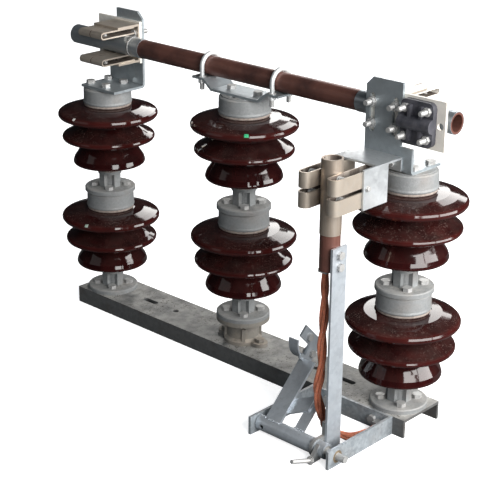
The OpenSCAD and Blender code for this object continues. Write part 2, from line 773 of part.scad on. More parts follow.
// Puts its children on the axis of the adjusting bolt, +Z along the bolt
module at_stop() {
    at_shaft(angle_x + angle_t + foot_t / 2) translate([0, stop_place[0], stop_place[1]])
        rotate([90 - stop_turn, 0, 0]) children();
}

// Plates that carry the blade and the adjusting bolt on the pipe
module blade_foot() {
    back = shaft_y - earth_y + angle_w / 2 - angle_t - 1;
    low = pipe_r + 2;
    color(galvanised) {
        at_shaft(angle_x - foot_t) difference() {
            union() {
                rotate([0, 90, 0]) cylinder(h = foot_t, r = pipe_r + 3);
                translate([0, 0, -low]) cube([foot_t, back, 2 * low]);
                translate([0, back - angle_w + angle_t + 1, 0]) cube([foot_t, angle_w - angle_t - 1, 46]);
            }
            rotate([0, 90, 0]) cylinder(h = 60, r = pipe_r, center = true);
        }
        difference() {
            at_shaft(angle_x + angle_t) rotate([90, 0, 90]) linear_extrude(foot_t) polygon([
                [-10, 15], [stop_place[0] + 2.7, stop_place[1] + 7.5],
                [stop_place[0] - 2.4, stop_place[1] - 6.6], [-6, -low]]);
            at_shaft() rotate([0, 90, 0]) cylinder(h = frame_x1, r = pipe_r);
            at_stop() cylinder(h = 20, r = stop_r, center = true);
        }
    }
}

module blade_angle() {
    z0 = -shaft_z - pipe_r;
    color(galvanised) difference() {
        union() {
            translate([angle_x, -earth_y - angle_w / 2, z0]) cube([angle_t, angle_w, angle_top - z0]);
            translate([angle_x + angle_t - angle_leg, -earth_y + angle_w / 2 - angle_t, z0])
                cube([angle_leg, angle_t, earth_tube_bottom - lug_h - 2 - z0]);
        }
        for (z = blade_bolt_zs) translate([angle_x, -earth_y, z]) rotate([0, 90, 0])
            cylinder(h = 40, r = 5.5, center = true);
    }
}

lug_h = 8;
earth_tube_bottom = earth_tube_top - earth_tube_len;
blade_bolt_zs = [angle_top - 16, angle_top - 40];

module blade_tube() {
    color(copper) translate([earth_x, -earth_y, earth_tube_bottom]) difference() {
        cylinder(h = earth_tube_len, r = earth_tube_r);
        translate([0, 0, -1]) cylinder(h = earth_tube_len + 2, r = earth_tube_r - tube_wall);
        for (z = blade_bolt_zs) translate([0, 0, z - earth_tube_bottom]) rotate([0, 90, 0])
            cylinder(h = 60, r = 5);
    }
}

module blade_sleeve() {
    color(plated) translate([earth_x, -earth_y, earth_tube_top - earth_sleeve_len]) difference() {
        cylinder(h = earth_sleeve_len, r = earth_out_r);
        translate([0, 0, -1]) cylinder(h = earth_sleeve_len + 2, r = earth_tube_r);
    }
}

module blade_bolts() {
    color(bolt_steel) {
        for (z = blade_bolt_zs) translate([angle_x + angle_t, -earth_y, z]) rotate([0, 90, 0])
            stud(angle_x + angle_t - earth_x - earth_tube_r + tube_wall, 5);
        at_stop() {
            hex(3 * stop_r, 5);
            translate([0, 0, -9]) cylinder(h = 9 + stop_len, r = stop_r, $fn = 24);
        }
    }
}

// Interlock on the shaft: the frame below lies along the arm
module along_arm(x) {
    at_shaft(x) rotate([arm_angle, 0, 0]) children();
}

module interlock_arm() {
    color(galvanised) difference() {
        along_arm(arm_x) union() {
            translate([0, 0, -arm_w / 2]) cube([arm_t, arm_len, arm_w]);
            translate([0, 0, arm_w / 2 - arm_t]) cube([arm_flange_w, arm_len - head_back - 0.3, arm_t]);
        }
        at_shaft() rotate([0, 90, 0]) cylinder(h = frame_x1, r = pipe_r);
        along_arm(arm_x) at_head_bolts([head_bolts[0]]) cylinder(h = 60, r = head_bolt_r, center = true);
    }
}

head_back = 30;
head_t = 5;
head_bolt_r = 5;
head_bolts = [[arm_len - 12, 0], [arm_len + 10, 35]];
gusset_t = 5;
bar_n = arm_w / 2 - arm_t - gusset_t;

// Children at the head's bolts, +Z along the shaft
module at_head_bolts(places) {
    for (p = places) translate([0, p[0], p[1]]) rotate([0, 90, 0]) children();
}

module interlock_bar() {
    color(galvanised) difference() {
        along_arm(bar_x) translate([0, 0, bar_n - arm_t]) cube([bar_w, bar_len, arm_t]);
        at_shaft() rotate([0, 90, 0]) cylinder(h = frame_x1, r = pipe_r);
    }
}

// Diagonal brace between the long arm's flange and the short bar
module interlock_gusset() {
    x0 = arm_x + arm_flange_w / 2;
    x1 = bar_x + bar_w / 2;
    color(galvanised) along_arm(0) translate([0, 0, bar_n]) linear_extrude(gusset_t) polygon([
        [x0, 26], [x0, 60], [x1, bar_len], [x1, bar_len - 34]]);
}

// Middle of the catch's curve, along the arm and above it
catch_mid = [arm_len + 12, 23];

// Head plate with an ear that holds the curved catch
module interlock_head() {
    ear = catch_mid[0] - catch_r - 4;
    color(zinc) along_arm(arm_x + arm_t) difference() {
        union() {
            rotate([90, 0, 90]) linear_extrude(head_t) polygon([
                [arm_len - head_back, -arm_w / 2], [arm_len + head_reach, -arm_w / 2],
                [arm_len + head_reach, head_rise], [arm_len - 2, head_rise], [arm_len - 2, 20],
                [ear + 13, 15], [ear + 11, 28], [ear, 28], [ear, arm_w / 2 + 0.5],
                [arm_len - head_back, arm_w / 2 + 0.5]]);
            translate([-catch_w, catch_mid[0], catch_mid[1]]) rotate([90, 0, 90]) rotate([0, 0, 123])
                rotate_extrude(angle = 68) translate([catch_r - 4, 0]) square([4, catch_w + head_t - 1]);
        }
        at_head_bolts(head_bolts) cylinder(h = 60, r = head_bolt_r, center = true);
    }
}

module interlock_bolts() {
    color(bolt_steel) along_arm(arm_x + arm_t + head_t) {
        at_head_bolts([head_bolts[0]]) bolt(arm_t + head_t, head_bolt_r);
        at_head_bolts([head_bolts[1]]) bolt(head_t, head_bolt_r);
    }
}

// Earth braid: from the foot of the blade's tube down beside the angle and into the frame

braid_route = [[393, -192, 332], [393, -192, 316], [393, -192, 300], [396, -195, 275], [398, -198, 240],
    [396, -199, 195], [396, -198, 150], [393, -198, 115], [386, -197, 82], [388, -195, 56], [392, -191, 33],
    [389, -182, 11], [385, -169, -7], [392, -157, -20], [412, -152, -26], [433, -147, -27],
    [446, -133, -25], [448, -116, -24], [448, -100, -24], [448, -84, -24]];

function cross3(a, b) = [a[1] * b[2] - a[2] * b[1], a[2] * b[0] - a[0] * b[2], a[0] * b[1] - a[1] * b[0]];
function unit(v) = v / norm(v);
// A point on a smooth curve through the route
function curve(p, i, t) =
    let (n = len(p) - 1, a = p[max(i - 1, 0)], b = p[i], c = p[i + 1], e = p[min(i + 2, n)])
    0.5 * (2 * b + (c - a) * t + (2 * a - 5 * b + 4 * c - e) * t * t + (3 * b - a - 3 * c + e) * t * t * t);

module swept_tube(route, r, steps = 2, sides = 8) {
    path = concat([for (i = [0 : len(route) - 2], k = [0 : steps - 1]) curve(route, i, k / steps)],
        [route[len(route) - 1]]);
    n = len(path);
    rings = [for (i = [0 : n - 1])
        let (d = unit(path[min(i + 1, n - 1)] - path[max(i - 1, 0)]), u = unit(cross3(d, [0.31, 0.9, 0.3])),
            v = cross3(d, u))
        for (k = [0 : sides - 1]) path[i] + r * (cos(k * 360 / sides) * u + sin(k * 360 / sides) * v)];
    faces = concat([[for (k = [0 : sides - 1]) k]],
        [for (i = [0 : n - 2], k = [0 : sides - 1])
            [i * sides + k, (i + 1) * sides + k, (i + 1) * sides + (k + 1) % sides,
                i * sides + (k + 1) % sides]],
        [[for (k = [sides - 1 : -1 : 0]) (n - 1) * sides + k]]);
    polyhedron(points = rings, faces = faces, convexity = 4);
}

module earth_braid() {
    color(braid_copper) swept_tube(braid_route, braid_r);
}

lug_w = 20;
frame_lug_x = 448;
frame_lug_z = -24;
frame_lug_len = 18;

// Crimped lugs: one under the earth tube, one on the frame's back strip
module braid_tube_lug() {
    color(bolt_steel) translate([earth_x - earth_tube_r + 1, -earth_y - lug_w / 2, earth_tube_bottom - lug_h])
        cube([lug_w, lug_w, lug_h]);
}

module braid_frame_lug() {
    color(bolt_steel) translate([frame_lug_x - lug_w / 2, -front_flange_y - frame_t - frame_lug_len,
        frame_lug_z - 9]) cube([lug_w, frame_lug_len, 18]);
}

base_channel();
bearing_housing();
bearing_bolts();
pedestals(-pitch, 0, 0);  // left_pedestals
translate([-pitch, 0, 0]) porcelain(0);  // left_lower_porcelain
translate([-pitch, 0, 0]) porcelain(unit_h);  // left_upper_porcelain
caps(-pitch, 0, 45, 45);  // left_caps
translate([-pitch, 0, 0]) stack_bolts(0, 45, channel_t + 12);  // left_stack_bolts
pedestals(0, bearing_h, 0);  // middle_pedestals
porcelain(bearing_h);  // middle_lower_porcelain
porcelain(bearing_h + unit_h);  // middle_upper_porcelain
caps(0, bearing_h, 45, 0);  // middle_caps
stack_bolts(bearing_h, 45, turntable_t);  // middle_stack_bolts
pedestals(pitch, 0, 0);  // right_pedestals
translate([pitch, 0, 0]) porcelain(0);  // right_lower_porcelain
translate([pitch, 0, 0]) porcelain(unit_h);  // right_upper_porcelain
caps(pitch, 0, 45, 45);  // right_caps
translate([pitch, 0, 0]) stack_bolts(0, 45, channel_t + 12);  // right_stack_bolts
rotor_spindle();
turntable();
drive_crank();
tube_saddle();
saddle_bolts();
tube_ubolts();
main_tube();
tube_ends();
at_stack(-1) contact_bracket(false);  // left_contact_bracket
at_stack(-1) finger_carrier();  // left_finger_carrier
at_stack(-1) contact_fingers();  // left_contact_fingers
at_stack(-1) contact_bolts();  // left_contact_bolts
at_stack(-1) terminal_pad(left_pad_reach, false);  // left_terminal_pad
at_stack(1) contact_bracket(true);  // right_contact_bracket
at_stack(1) finger_carrier();  // right_finger_carrier
at_stack(1) contact_fingers();  // right_contact_fingers
union() {  // right_contact_bolts
    at_stack(1) contact_bolts();
    earth_bracket_bolts();
}
at_stack(1) terminal_pad(pad_reach, true);  // right_terminal_pad
terminal_clamp();
clamp_bolts();
earth_contact_bracket();
earth_contact_fingers();
frame_back_strip();
side_strip(frame_x0);  // frame_left_strip
side_strip(frame_x1 - frame_t);  // frame_right_strip
frame_bolts();
pivot_bushes();
torque_pipe();
pivot_pins();
blade_foot();
blade_angle();
blade_tube();
blade_sleeve();
blade_bolts();
interlock_arm();
interlock_bar();
interlock_gusset();
interlock_head();
interlock_bolts();
earth_braid();
braid_tube_lug();
braid_frame_lug();
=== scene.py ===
"""Finishes, small fittings and stage for one pole of a centre-rotating isolator with an earth blade."""
import json
import math

import bmesh
import bpy
from bpy.props import FloatProperty, FloatVectorProperty, IntProperty, PointerProperty
from mathutils import Matrix, Vector
from mathutils.bvhtree import BVHTree


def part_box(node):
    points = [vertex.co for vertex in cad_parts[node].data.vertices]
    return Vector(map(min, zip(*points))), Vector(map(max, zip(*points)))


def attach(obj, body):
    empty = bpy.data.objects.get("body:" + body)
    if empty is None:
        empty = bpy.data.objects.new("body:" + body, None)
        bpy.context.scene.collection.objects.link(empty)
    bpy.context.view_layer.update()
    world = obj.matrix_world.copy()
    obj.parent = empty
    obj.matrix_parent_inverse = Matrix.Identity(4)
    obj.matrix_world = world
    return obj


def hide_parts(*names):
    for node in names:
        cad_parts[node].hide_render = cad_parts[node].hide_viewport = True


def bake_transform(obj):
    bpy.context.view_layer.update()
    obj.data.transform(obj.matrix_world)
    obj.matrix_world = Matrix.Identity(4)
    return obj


bl_info = {
    "name": "Isolator Pole Dressing",
    "version": (1, 0, 0),
    "blender": (4, 5, 0),
    "location": "View3D > Sidebar > Isolator",
    "description": "Finishes, braid, cement joints, washers and studio for a high voltage isolator pole",
    "category": "Object",
}

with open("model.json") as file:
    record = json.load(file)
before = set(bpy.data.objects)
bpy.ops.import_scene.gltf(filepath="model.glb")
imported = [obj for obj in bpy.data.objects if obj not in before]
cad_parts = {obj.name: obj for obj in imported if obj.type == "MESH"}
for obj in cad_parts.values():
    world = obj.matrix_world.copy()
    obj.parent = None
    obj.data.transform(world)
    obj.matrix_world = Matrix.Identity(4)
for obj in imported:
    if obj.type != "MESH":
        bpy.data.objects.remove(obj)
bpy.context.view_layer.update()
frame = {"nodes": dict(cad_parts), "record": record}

STACKS = {"left": "base", "middle": "rotor", "right": "base"}
FLOOR_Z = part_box("base_channel")[0].z


# Sizes and colours that a user would change

class IsolatorSizes(bpy.types.PropertyGroup):
    cement_height: FloatProperty(
        name="Cement Height", description="Height of the bare band under each cap", default=0.0055,
        min=0.001, max=0.01, unit="LENGTH")
    strand_count: IntProperty(
        name="Braid Strands", description="Strands in each of the braid's bundles", default=7,
        min=3, max=12)
    braid_diameter: FloatProperty(
        name="Braid Diameter", description="Outer diameter of the earth braid", default=0.014,
        min=0.008, max=0.02, unit="LENGTH")
    washer_thickness: FloatProperty(
        name="Washer Thickness", description="Thickness of the washers under the bolt heads",
        default=0.0016, min=0.001, max=0.003, unit="LENGTH")


class IsolatorFinishes(bpy.types.PropertyGroup):
    glaze: FloatVectorProperty(
        name="Glaze", description="Deep colour of the porcelain glaze", subtype="COLOR",
        default=(0.0115, 0.0020, 0.0022), min=0, max=1)
    glaze_thin: FloatVectorProperty(
        name="Thin Glaze", description="Glaze colour where it runs thin on edges", subtype="COLOR",
        default=(0.055, 0.0085, 0.007), min=0, max=1)
    galvanised: FloatVectorProperty(
        name="Galvanised", description="Colour of hot-dip galvanised steel", subtype="COLOR",
        default=(0.235, 0.245, 0.248), min=0, max=1)
    rail: FloatVectorProperty(
        name="Base Channel", description="Colour of the weathered base channel", subtype="COLOR",
        default=(0.155, 0.158, 0.158), min=0, max=1)
    zinc: FloatVectorProperty(
        name="Zinc", description="Colour of the bright zinc plating", subtype="COLOR",
        default=(0.435, 0.485, 0.515), min=0, max=1)
    copper: FloatVectorProperty(
        name="Copper", description="Colour of the oxidised copper tubes", subtype="COLOR",
        default=(0.135, 0.056, 0.043), min=0, max=1)
    wire: FloatVectorProperty(
        name="Braid Copper", description="Colour of the braid's bare copper wire", subtype="COLOR",
        default=(0.74, 0.26, 0.15), min=0, max=1)
    plating: FloatVectorProperty(
        name="Tin Plating", description="Colour of the plating on the earth tube's sleeve and mouth",
        subtype="COLOR", default=(0.42, 0.35, 0.285), min=0, max=1)
    floor: FloatVectorProperty(
        name="Floor", description="Colour of the studio floor", subtype="COLOR",
        default=(0.93, 0.93, 0.93), min=0, max=1)


class IsolatorStudio(bpy.types.PropertyGroup):
    lens: FloatProperty(
        name="Lens", description="Focal length on a 36 mm sensor", default=98.57, min=20, max=200)
    azimuth: FloatProperty(
        name="Azimuth", description="Camera azimuth from the front", default=math.radians(42.8),
        subtype="ANGLE")
    elevation: FloatProperty(
        name="Elevation", description="Camera elevation", default=math.radians(21.39), subtype="ANGLE")
    roll: FloatProperty(
        name="Roll", description="Camera roll", default=math.radians(0.54), subtype="ANGLE")
    place: FloatVectorProperty(
        name="Camera Place", description="Camera position", default=(1.925, -2.058, 1.319),
        subtype="TRANSLATION", unit="LENGTH")


# Helpers for meshes

FRONT = Vector((0, -1, 0))
BACK = Vector((0, 1, 0))
UP = Vector((0, 0, 1))
DOWN = Vector((0, 0, -1))
ALONG = Vector((1, 0, 0))
SIGNS = (-1, 1)
CORNERS = [(s, t) for s in SIGNS for t in SIGNS]


def mesh_from(name, shape, smooth=True):
    bmesh.ops.recalc_face_normals(shape, faces=shape.faces)
    mesh = bpy.data.meshes.new(name)
    shape.to_mesh(mesh)
    shape.free()
    for face in mesh.polygons:
        face.use_smooth = smooth
    return mesh


def piece_from(name, shape, finish, body, smooth=True):
    """Turns a bmesh into a piece with a finish that rides on a body."""
    piece = bpy.data.objects.new(name, mesh_from(name, shape, smooth))
    bpy.context.scene.collection.objects.link(piece)
    piece.data.materials.append(FINISHES[finish])
    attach(piece, body)


def foot_of(node):
    """The middle of a node's lower face."""
    low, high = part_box(node)
    middle = (low + high) / 2
    return Vector((middle.x, middle.y, low.z))


def across(axis):
    """Two directions square to an axis and to each other."""
    side = axis.orthogonal().normalized()
    return side, axis.cross(side)


def circle(target, centre, radius, first, second, sides):
    """Adds a ring of points to a bmesh, in the plane of two directions."""
    turns = [2 * math.pi * k / sides for k in range(sides)]
    return [target.verts.new(centre + radius * (math.cos(turn) * first + math.sin(turn) * second))
            for turn in turns]


def join_rings(target, near, far):
    sides = len(near)
    for k in range(sides):
        target.faces.new((near[k], near[(k + 1) % sides], far[(k + 1) % sides], far[k]))


def closed_solid(target, rings):
    """Skins a row of rings and closes its ends."""
    for near, far in zip(rings, rings[1:]):
        join_rings(target, near, far)
    target.faces.new(rings[0])
    target.faces.new(rings[-1])


def turned_ring(target, centre, outline, axis=UP, sides=72):
    """Adds a closed ring turned round an axis to a bmesh; outline holds (radius, distance along it)."""
    rings = [circle(target, centre + z * axis, radius, *across(axis), sides) for radius, z in outline]
    for near, far in zip(rings, rings[1:] + rings[:1]):
        join_rings(target, near, far)


def turned_rod(target, start, axis, outline, sides=20):
    """Adds a closed solid turned round an axis; outline holds (distance along it, radius)."""
    closed_solid(target, [circle(target, start + axis * along, radius, *across(axis), sides)
                          for along, radius in outline])


# Helpers for node trees. A value is a plain number or colour, or a (node, output) pair.

NUMBER = "NodeSocketFloat"
COLOUR = "NodeSocketColor"
VECTOR = "NodeSocketVector"
MIX_FACTOR, MIX_A, MIX_B, MIX_OUT = 0, 6, 7, 2


def feed(tree, node, into, value):
    """Links a (node, output) pair into an input, or sets the input to a plain value."""
    if isinstance(value, tuple) and isinstance(value[0], bpy.types.Node):
        tree.links.new(value[0].outputs[value[1]], node.inputs[into])
    else:
        node.inputs[into].default_value = value


def add(tree, kind, inputs=(), **settings):
    """Adds a node with its settings, then feeds its inputs, given as {input: value}."""
    node = tree.nodes.new(kind)
    for key, value in settings.items():
        setattr(node, key, value)
    for into, value in dict(inputs).items():
        feed(tree, node, into, value)
    return node


def arithmetic(tree, operation, *values, clamp=False):
    return add(tree, "ShaderNodeMath", enumerate(values), operation=operation, use_clamp=clamp), 0


def ramp(tree, value, low, high):
    """Stretches a mask so that low turns to 0 and high to 1."""
    return add(tree, "ShaderNodeMapRange", {"Value": value, "From Min": low, "From Max": high}), "Result"


def blended(tree, factor, first, second, how="MIX"):
    """Mixes two colours."""
    return add(tree, "ShaderNodeMix", {MIX_FACTOR: factor, MIX_A: first, MIX_B: second},
               data_type="RGBA", blend_type=how), MIX_OUT


def stretched(tree, place, factors):
    """Scales the place by a factor for each axis."""
    return add(tree, "ShaderNodeVectorMath", {0: place, 1: factors}, operation="MULTIPLY"), "Vector"


def noise(tree, place, scale, detail, **others):
    inputs = {"Vector": place, "Scale": scale, "Detail": detail, **others}
    return add(tree, "ShaderNodeTexNoise", inputs), "Fac"


def facing_up(tree, place, low, high):
    """A mask of the faces that look up."""
    facing = add(tree, "ShaderNodeSeparateXYZ", {"Vector": (place, "Normal")})
    return ramp(tree, (facing, "Z"), low, high)


def solid(colour):
    return (*colour, 1.0)


# Shared effects

# How much the crystals darken, roughen and lift a galvanised surface
CRYSTAL_SHADE = (0.55, 0.57, 0.60, 1)
CRYSTAL_ROUGHNESS = 0.14
CRYSTAL_HEIGHT = 0.25
# How much dust and streaks roughen a surface
DUST_ROUGHNESS = 0.35
STREAK_ROUGHNESS = 0.22


def new_group(name, inputs, outputs):
    tree = bpy.data.node_groups.new(name, "ShaderNodeTree")
    for label, kind, value in inputs:
        socket = tree.interface.new_socket(name=label, in_out="INPUT", socket_type=kind)
        socket.default_value = value
    for label, kind in outputs:
        tree.interface.new_socket(name=label, in_out="OUTPUT", socket_type=kind)
    return tree, tree.nodes.new("NodeGroupInput"), tree.nodes.new("NodeGroupOutput")


def zinc_spangle_group():
    """Crystal pattern, stains and fine grain of a galvanised surface."""
    tree, given, made = new_group("Zinc Spangle", [
        ("Color", COLOUR, (0.5, 0.5, 0.5, 1)), ("Stain Color", COLOUR, (0.25, 0.2, 0.16, 1)),
        ("Spangle Scale", NUMBER, 90.0), ("Spangle Amount", NUMBER, 0.25), ("Stain Scale", NUMBER, 9.0),
        ("Stain Amount", NUMBER, 0.4), ("Roughness", NUMBER, 0.5)],
        [("Color", COLOUR), ("Roughness", NUMBER), ("Height", NUMBER)])
    here = (add(tree, "ShaderNodeTexCoord"), "Object")
    cells = add(tree, "ShaderNodeTexVoronoi", {"Vector": here, "Scale": (given, "Spangle Scale")})
    tone = add(tree, "ShaderNodeSeparateColor", {"Color": (cells, "Color")})
    shade = arithmetic(tree, "MULTIPLY", (tone, 0), (given, "Spangle Amount"))
    crystals = blended(tree, shade, (given, "Color"), CRYSTAL_SHADE, "MULTIPLY")
    blotches = ramp(tree, noise(tree, here, (given, "Stain Scale"), 8.0, Roughness=0.62), 0.50, 0.78)
    stain = arithmetic(tree, "MULTIPLY", blotches, (given, "Stain Amount"))
    feed(tree, made, "Color", blended(tree, stain, crystals, (given, "Stain Color")))
    feed(tree, made, "Roughness", arithmetic(
        tree, "MULTIPLY_ADD", (tone, 1), CRYSTAL_ROUGHNESS, (given, "Roughness")))
    grain = noise(tree, here, 420.0, 4.0, Roughness=0.6)
    feed(tree, made, "Height", arithmetic(tree, "MULTIPLY_ADD", (tone, 2), CRYSTAL_HEIGHT, grain))


def settled_dust_group():
    """Dust that lies on faces that look up, broken up by noise."""
    tree, given, made = new_group("Settled Dust", [
        ("Color", COLOUR, (0.5, 0.5, 0.5, 1)), ("Dust Color", COLOUR, (0.62, 0.58, 0.52, 1)),
        ("Amount", NUMBER, 0.5), ("Roughness", NUMBER, 0.5), ("Scale", NUMBER, 22.0)],
        [("Color", COLOUR), ("Roughness", NUMBER)])
    place = add(tree, "ShaderNodeTexCoord")
    broken = ramp(tree, noise(tree, (place, "Object"), (given, "Scale"), 7.0, Roughness=0.6), 0.30, 0.66)
    lying = arithmetic(tree, "MULTIPLY", facing_up(tree, place, 0.25, 0.95), broken)
    mask = arithmetic(tree, "MULTIPLY", lying, (given, "Amount"), clamp=True)
    feed(tree, made, "Color", blended(tree, mask, (given, "Color"), (given, "Dust Color")))
    feed(tree, made, "Roughness", arithmetic(
        tree, "MULTIPLY_ADD", mask, DUST_ROUGHNESS, (given, "Roughness"), clamp=True))


def crumbs_group():
    """Dark crumbs and dried spots scattered on faces that look up."""
    tree, given, made = new_group("Crumbs", [
        ("Color", COLOUR, (0.5, 0.5, 0.5, 1)), ("Crumb Color", COLOUR, (0.07, 0.06, 0.05, 1)),
        ("Scale", NUMBER, 150.0), ("Amount", NUMBER, 0.6)], [("Color", COLOUR)])
    place = add(tree, "ShaderNodeTexCoord")
    here = (place, "Object")
    bits = ramp(tree, noise(tree, here, (given, "Scale"), 3.0, Roughness=0.7, Distortion=0.8), 0.57, 0.63)
    patches = ramp(tree, noise(tree, here, 9.0, 3.0), 0.38, 0.60)
    found = arithmetic(tree, "MULTIPLY", bits, patches)
    lying = arithmetic(tree, "MULTIPLY", found, facing_up(tree, place, 0.6, 0.95))
    mask = arithmetic(tree, "MULTIPLY", lying, (given, "Amount"), clamp=True)
    feed(tree, made, "Color", blended(tree, mask, (given, "Color"), (given, "Crumb Color")))


def drawn_streaks_group():
    """Streaks and blotches along a drawn tube or rolled plate."""
    tree, given, made = new_group("Drawn Streaks", [
        ("Color", COLOUR, (0.3, 0.15, 0.1, 1)), ("Worn Color", COLOUR, (0.5, 0.3, 0.2, 1)),
        ("Dark Color", COLOUR, (0.1, 0.05, 0.04, 1)), ("Stretch", VECTOR, (6.0, 60.0, 60.0)),
        ("Worn Amount", NUMBER, 0.5), ("Dark Amount", NUMBER, 0.5), ("Roughness", NUMBER, 0.35)],
        [("Color", COLOUR), ("Roughness", NUMBER), ("Height", NUMBER)])
    here = (add(tree, "ShaderNodeTexCoord"), "Object")
    streak = noise(tree, stretched(tree, here, (given, "Stretch")), 1.0, 6.0, Roughness=0.65)
    worn = arithmetic(tree, "MULTIPLY", ramp(tree, streak, 0.48, 0.72), (given, "Worn Amount"))
    blotch = noise(tree, here, 14.0, 6.0, Roughness=0.6)
    dark = arithmetic(tree, "MULTIPLY", ramp(tree, blotch, 0.45, 0.70), (given, "Dark Amount"))
    rubbed = blended(tree, worn, (given, "Color"), (given, "Worn Color"))
    feed(tree, made, "Color", blended(tree, dark, rubbed, (given, "Dark Color")))
    feed(tree, made, "Roughness", arithmetic(
        tree, "MULTIPLY_ADD", blotch, STREAK_ROUGHNESS, (given, "Roughness")))
    feed(tree, made, "Height", streak)


def effect(tree, group, inputs):
    return add(tree, "ShaderNodeGroup", inputs, node_tree=bpy.data.node_groups[group])


# Finishes

# How much of the light the floor throws back, and how much it glows to the camera
BOUNCE = 0.10
FLOOR_GLOW = 0.72


def new_finish(name, metallic):
    finish = bpy.data.materials.new(name)
    finish.use_nodes = True
    shader = finish.node_tree.nodes["Principled BSDF"]
    shader.inputs["Metallic"].default_value = metallic
    return finish, finish.node_tree, shader


def bumped(tree, shader, height, strength, distance):
    bump = add(tree, "ShaderNodeBump", {"Height": height, "Strength": strength, "Distance": distance})
    feed(tree, shader, "Normal", (bump, "Normal"))


def glaze_finish(looks):
    """Deep brown glaze, thinner and redder where the body turns sharply, with faint streaks and dust."""
    finish, tree, shader = new_finish("brown_glaze", 0.0)
    here = (add(tree, "ShaderNodeTexCoord"), "Object")
    runs = stretched(tree, here, (26.0, 26.0, 7.0))
    cloud = ramp(tree, noise(tree, runs, 1.0, 5.0, Roughness=0.55), 0.40, 0.72)
    edges = ramp(tree, (add(tree, "ShaderNodeNewGeometry"), "Pointiness"), 0.515, 0.60)
    thin = arithmetic(tree, "MULTIPLY_ADD", cloud, 0.30, edges, clamp=True)
    dust = effect(tree, "Settled Dust", {
        "Color": blended(tree, thin, solid(looks.glaze), solid(looks.glaze_thin)),
        "Dust Color": (0.20, 0.15, 0.13, 1), "Amount": 0.07, "Roughness": 0.07})
    specks = effect(tree, "Crumbs", {
        "Color": (dust, "Color"), "Crumb Color": (0.30, 0.24, 0.21, 1), "Scale": 210.0, "Amount": 0.16})
    feed(tree, shader, "Base Color", (specks, "Color"))
    feed(tree, shader, "Roughness", (dust, "Roughness"))
    bumped(tree, shader, noise(tree, here, 38.0, 2.0), 0.10, 0.002)
    shader.inputs["IOR"].default_value = 1.48
    shader.inputs["Specular IOR Level"].default_value = 0.34
    shader.inputs["Coat Weight"].default_value = 0.06
    shader.inputs["Coat Roughness"].default_value = 0.03
    return finish


def zinc_finish(name, colour, values):
    """A galvanised or plated steel surface: spangle, stains, grain, settled dust and crumbs."""
    finish, tree, shader = new_finish(name, values["metallic"])
    skin = effect(tree, "Zinc Spangle", {
        "Color": solid(colour), "Stain Color": solid(values["stain"]),
        "Spangle Scale": values["spangle_scale"], "Spangle Amount": values["spangle"],
        "Stain Amount": values["stains"], "Stain Scale": values["stain_scale"],
        "Roughness": values["roughness"]})
    dust = effect(tree, "Settled Dust", {
        "Color": (skin, "Color"), "Roughness": (skin, "Roughness"),
        "Amount": values["dust"], "Dust Color": solid(values["dust_colour"])})
    crumbs = effect(tree, "Crumbs", {"Color": (dust, "Color"), "Amount": values["crumbs"]})
    feed(tree, shader, "Base Color", (crumbs, "Color"))
    feed(tree, shader, "Roughness", (dust, "Roughness"))
    bumped(tree, shader, (skin, "Height"), values["bump"], 0.0012)
    return finish


def tube_finish(name, colour, values):
    """Drawn tube or rolled contact strip with streaks along its length."""
    finish, tree, shader = new_finish(name, values["metallic"])
    skin = effect(tree, "Drawn Streaks", {
        "Color": solid(colour), "Worn Color": solid(values["worn"]), "Dark Color": solid(values["dark"]),
        "Stretch": values["stretch"], "Worn Amount": values["worn_amount"],
        "Dark Amount": values["dark_amount"], "Roughness": values["roughness"]})
    feed(tree, shader, "Base Color", (skin, "Color"))
    feed(tree, shader, "Roughness", (skin, "Roughness"))
    bumped(tree, shader, (skin, "Height"), values["bump"], 0.0008)
    return finish


def plain_finish(name, colour, other, scale, roughness, metallic=0.0, bump=0.3):
    """Two close tones in small blotches, for cement, stickers, castings and bushes."""
    finish, tree, shader = new_finish(name, metallic)
    blotches = noise(tree, (add(tree, "ShaderNodeTexCoord"), "Object"), scale, 8.0, Roughness=0.6)
    feed(tree, shader, "Base Color", blended(
        tree, ramp(tree, blotches, 0.35, 0.68), solid(colour), solid(other)))
    shader.inputs["Roughness"].default_value = roughness
    bumped(tree, shader, blotches, bump, 0.001)
    return finish


def floor_finish(looks):
    """A pale floor that throws little light back up, as the dark ground under the real one does."""
    finish, tree, shader = new_finish("studio_floor", 0.0)
    seen = (add(tree, "ShaderNodeLightPath"), "Is Camera Ray")
    feed(tree, shader, "Base Color", blended(tree, seen, (BOUNCE, BOUNCE, BOUNCE, 1), solid(looks.floor)))
    shader.inputs["Roughness"].default_value = 0.9
    shader.inputs["Emission Color"].default_value = solid(looks.floor)
    feed(tree, shader, "Emission Strength", arithmetic(tree, "MULTIPLY", seen, FLOOR_GLOW))
    return finish


# Values of the finishes: castings and steel, zinc plate and fasteners, then tubes and contacts

CASTING = {
    "metallic": 0.25, "stain": (0.20, 0.17, 0.15), "spangle_scale": 260.0, "spangle": 0.30,
    "stains": 0.55, "stain_scale": 18.0, "roughness": 0.52, "dust": 0.55,
    "dust_colour": (0.45, 0.43, 0.40), "bump": 0.55, "crumbs": 0.35}
STEEL = {
    "metallic": 0.45, "stain": (0.22, 0.17, 0.14), "spangle_scale": 120.0, "spangle": 0.45,
    "stains": 0.50, "stain_scale": 11.0, "roughness": 0.40, "dust": 0.60,
    "dust_colour": (0.44, 0.40, 0.37), "bump": 0.25, "crumbs": 0.3}
DUSTY = {
    **CASTING, "stain": (0.30, 0.25, 0.20), "stains": 0.75, "dust": 0.85,
    "dust_colour": (0.42, 0.37, 0.31), "crumbs": 0.7}
ARM = {**STEEL, "metallic": 0.65, "spangle": 0.25, "stains": 0.22, "dust": 0.25, "roughness": 0.32}
RAIL = {
    **STEEL, "stain": (0.085, 0.070, 0.058), "stains": 0.75, "stain_scale": 17.0, "dust": 0.95,
    "dust_colour": (0.50, 0.49, 0.465), "crumbs": 0.95}
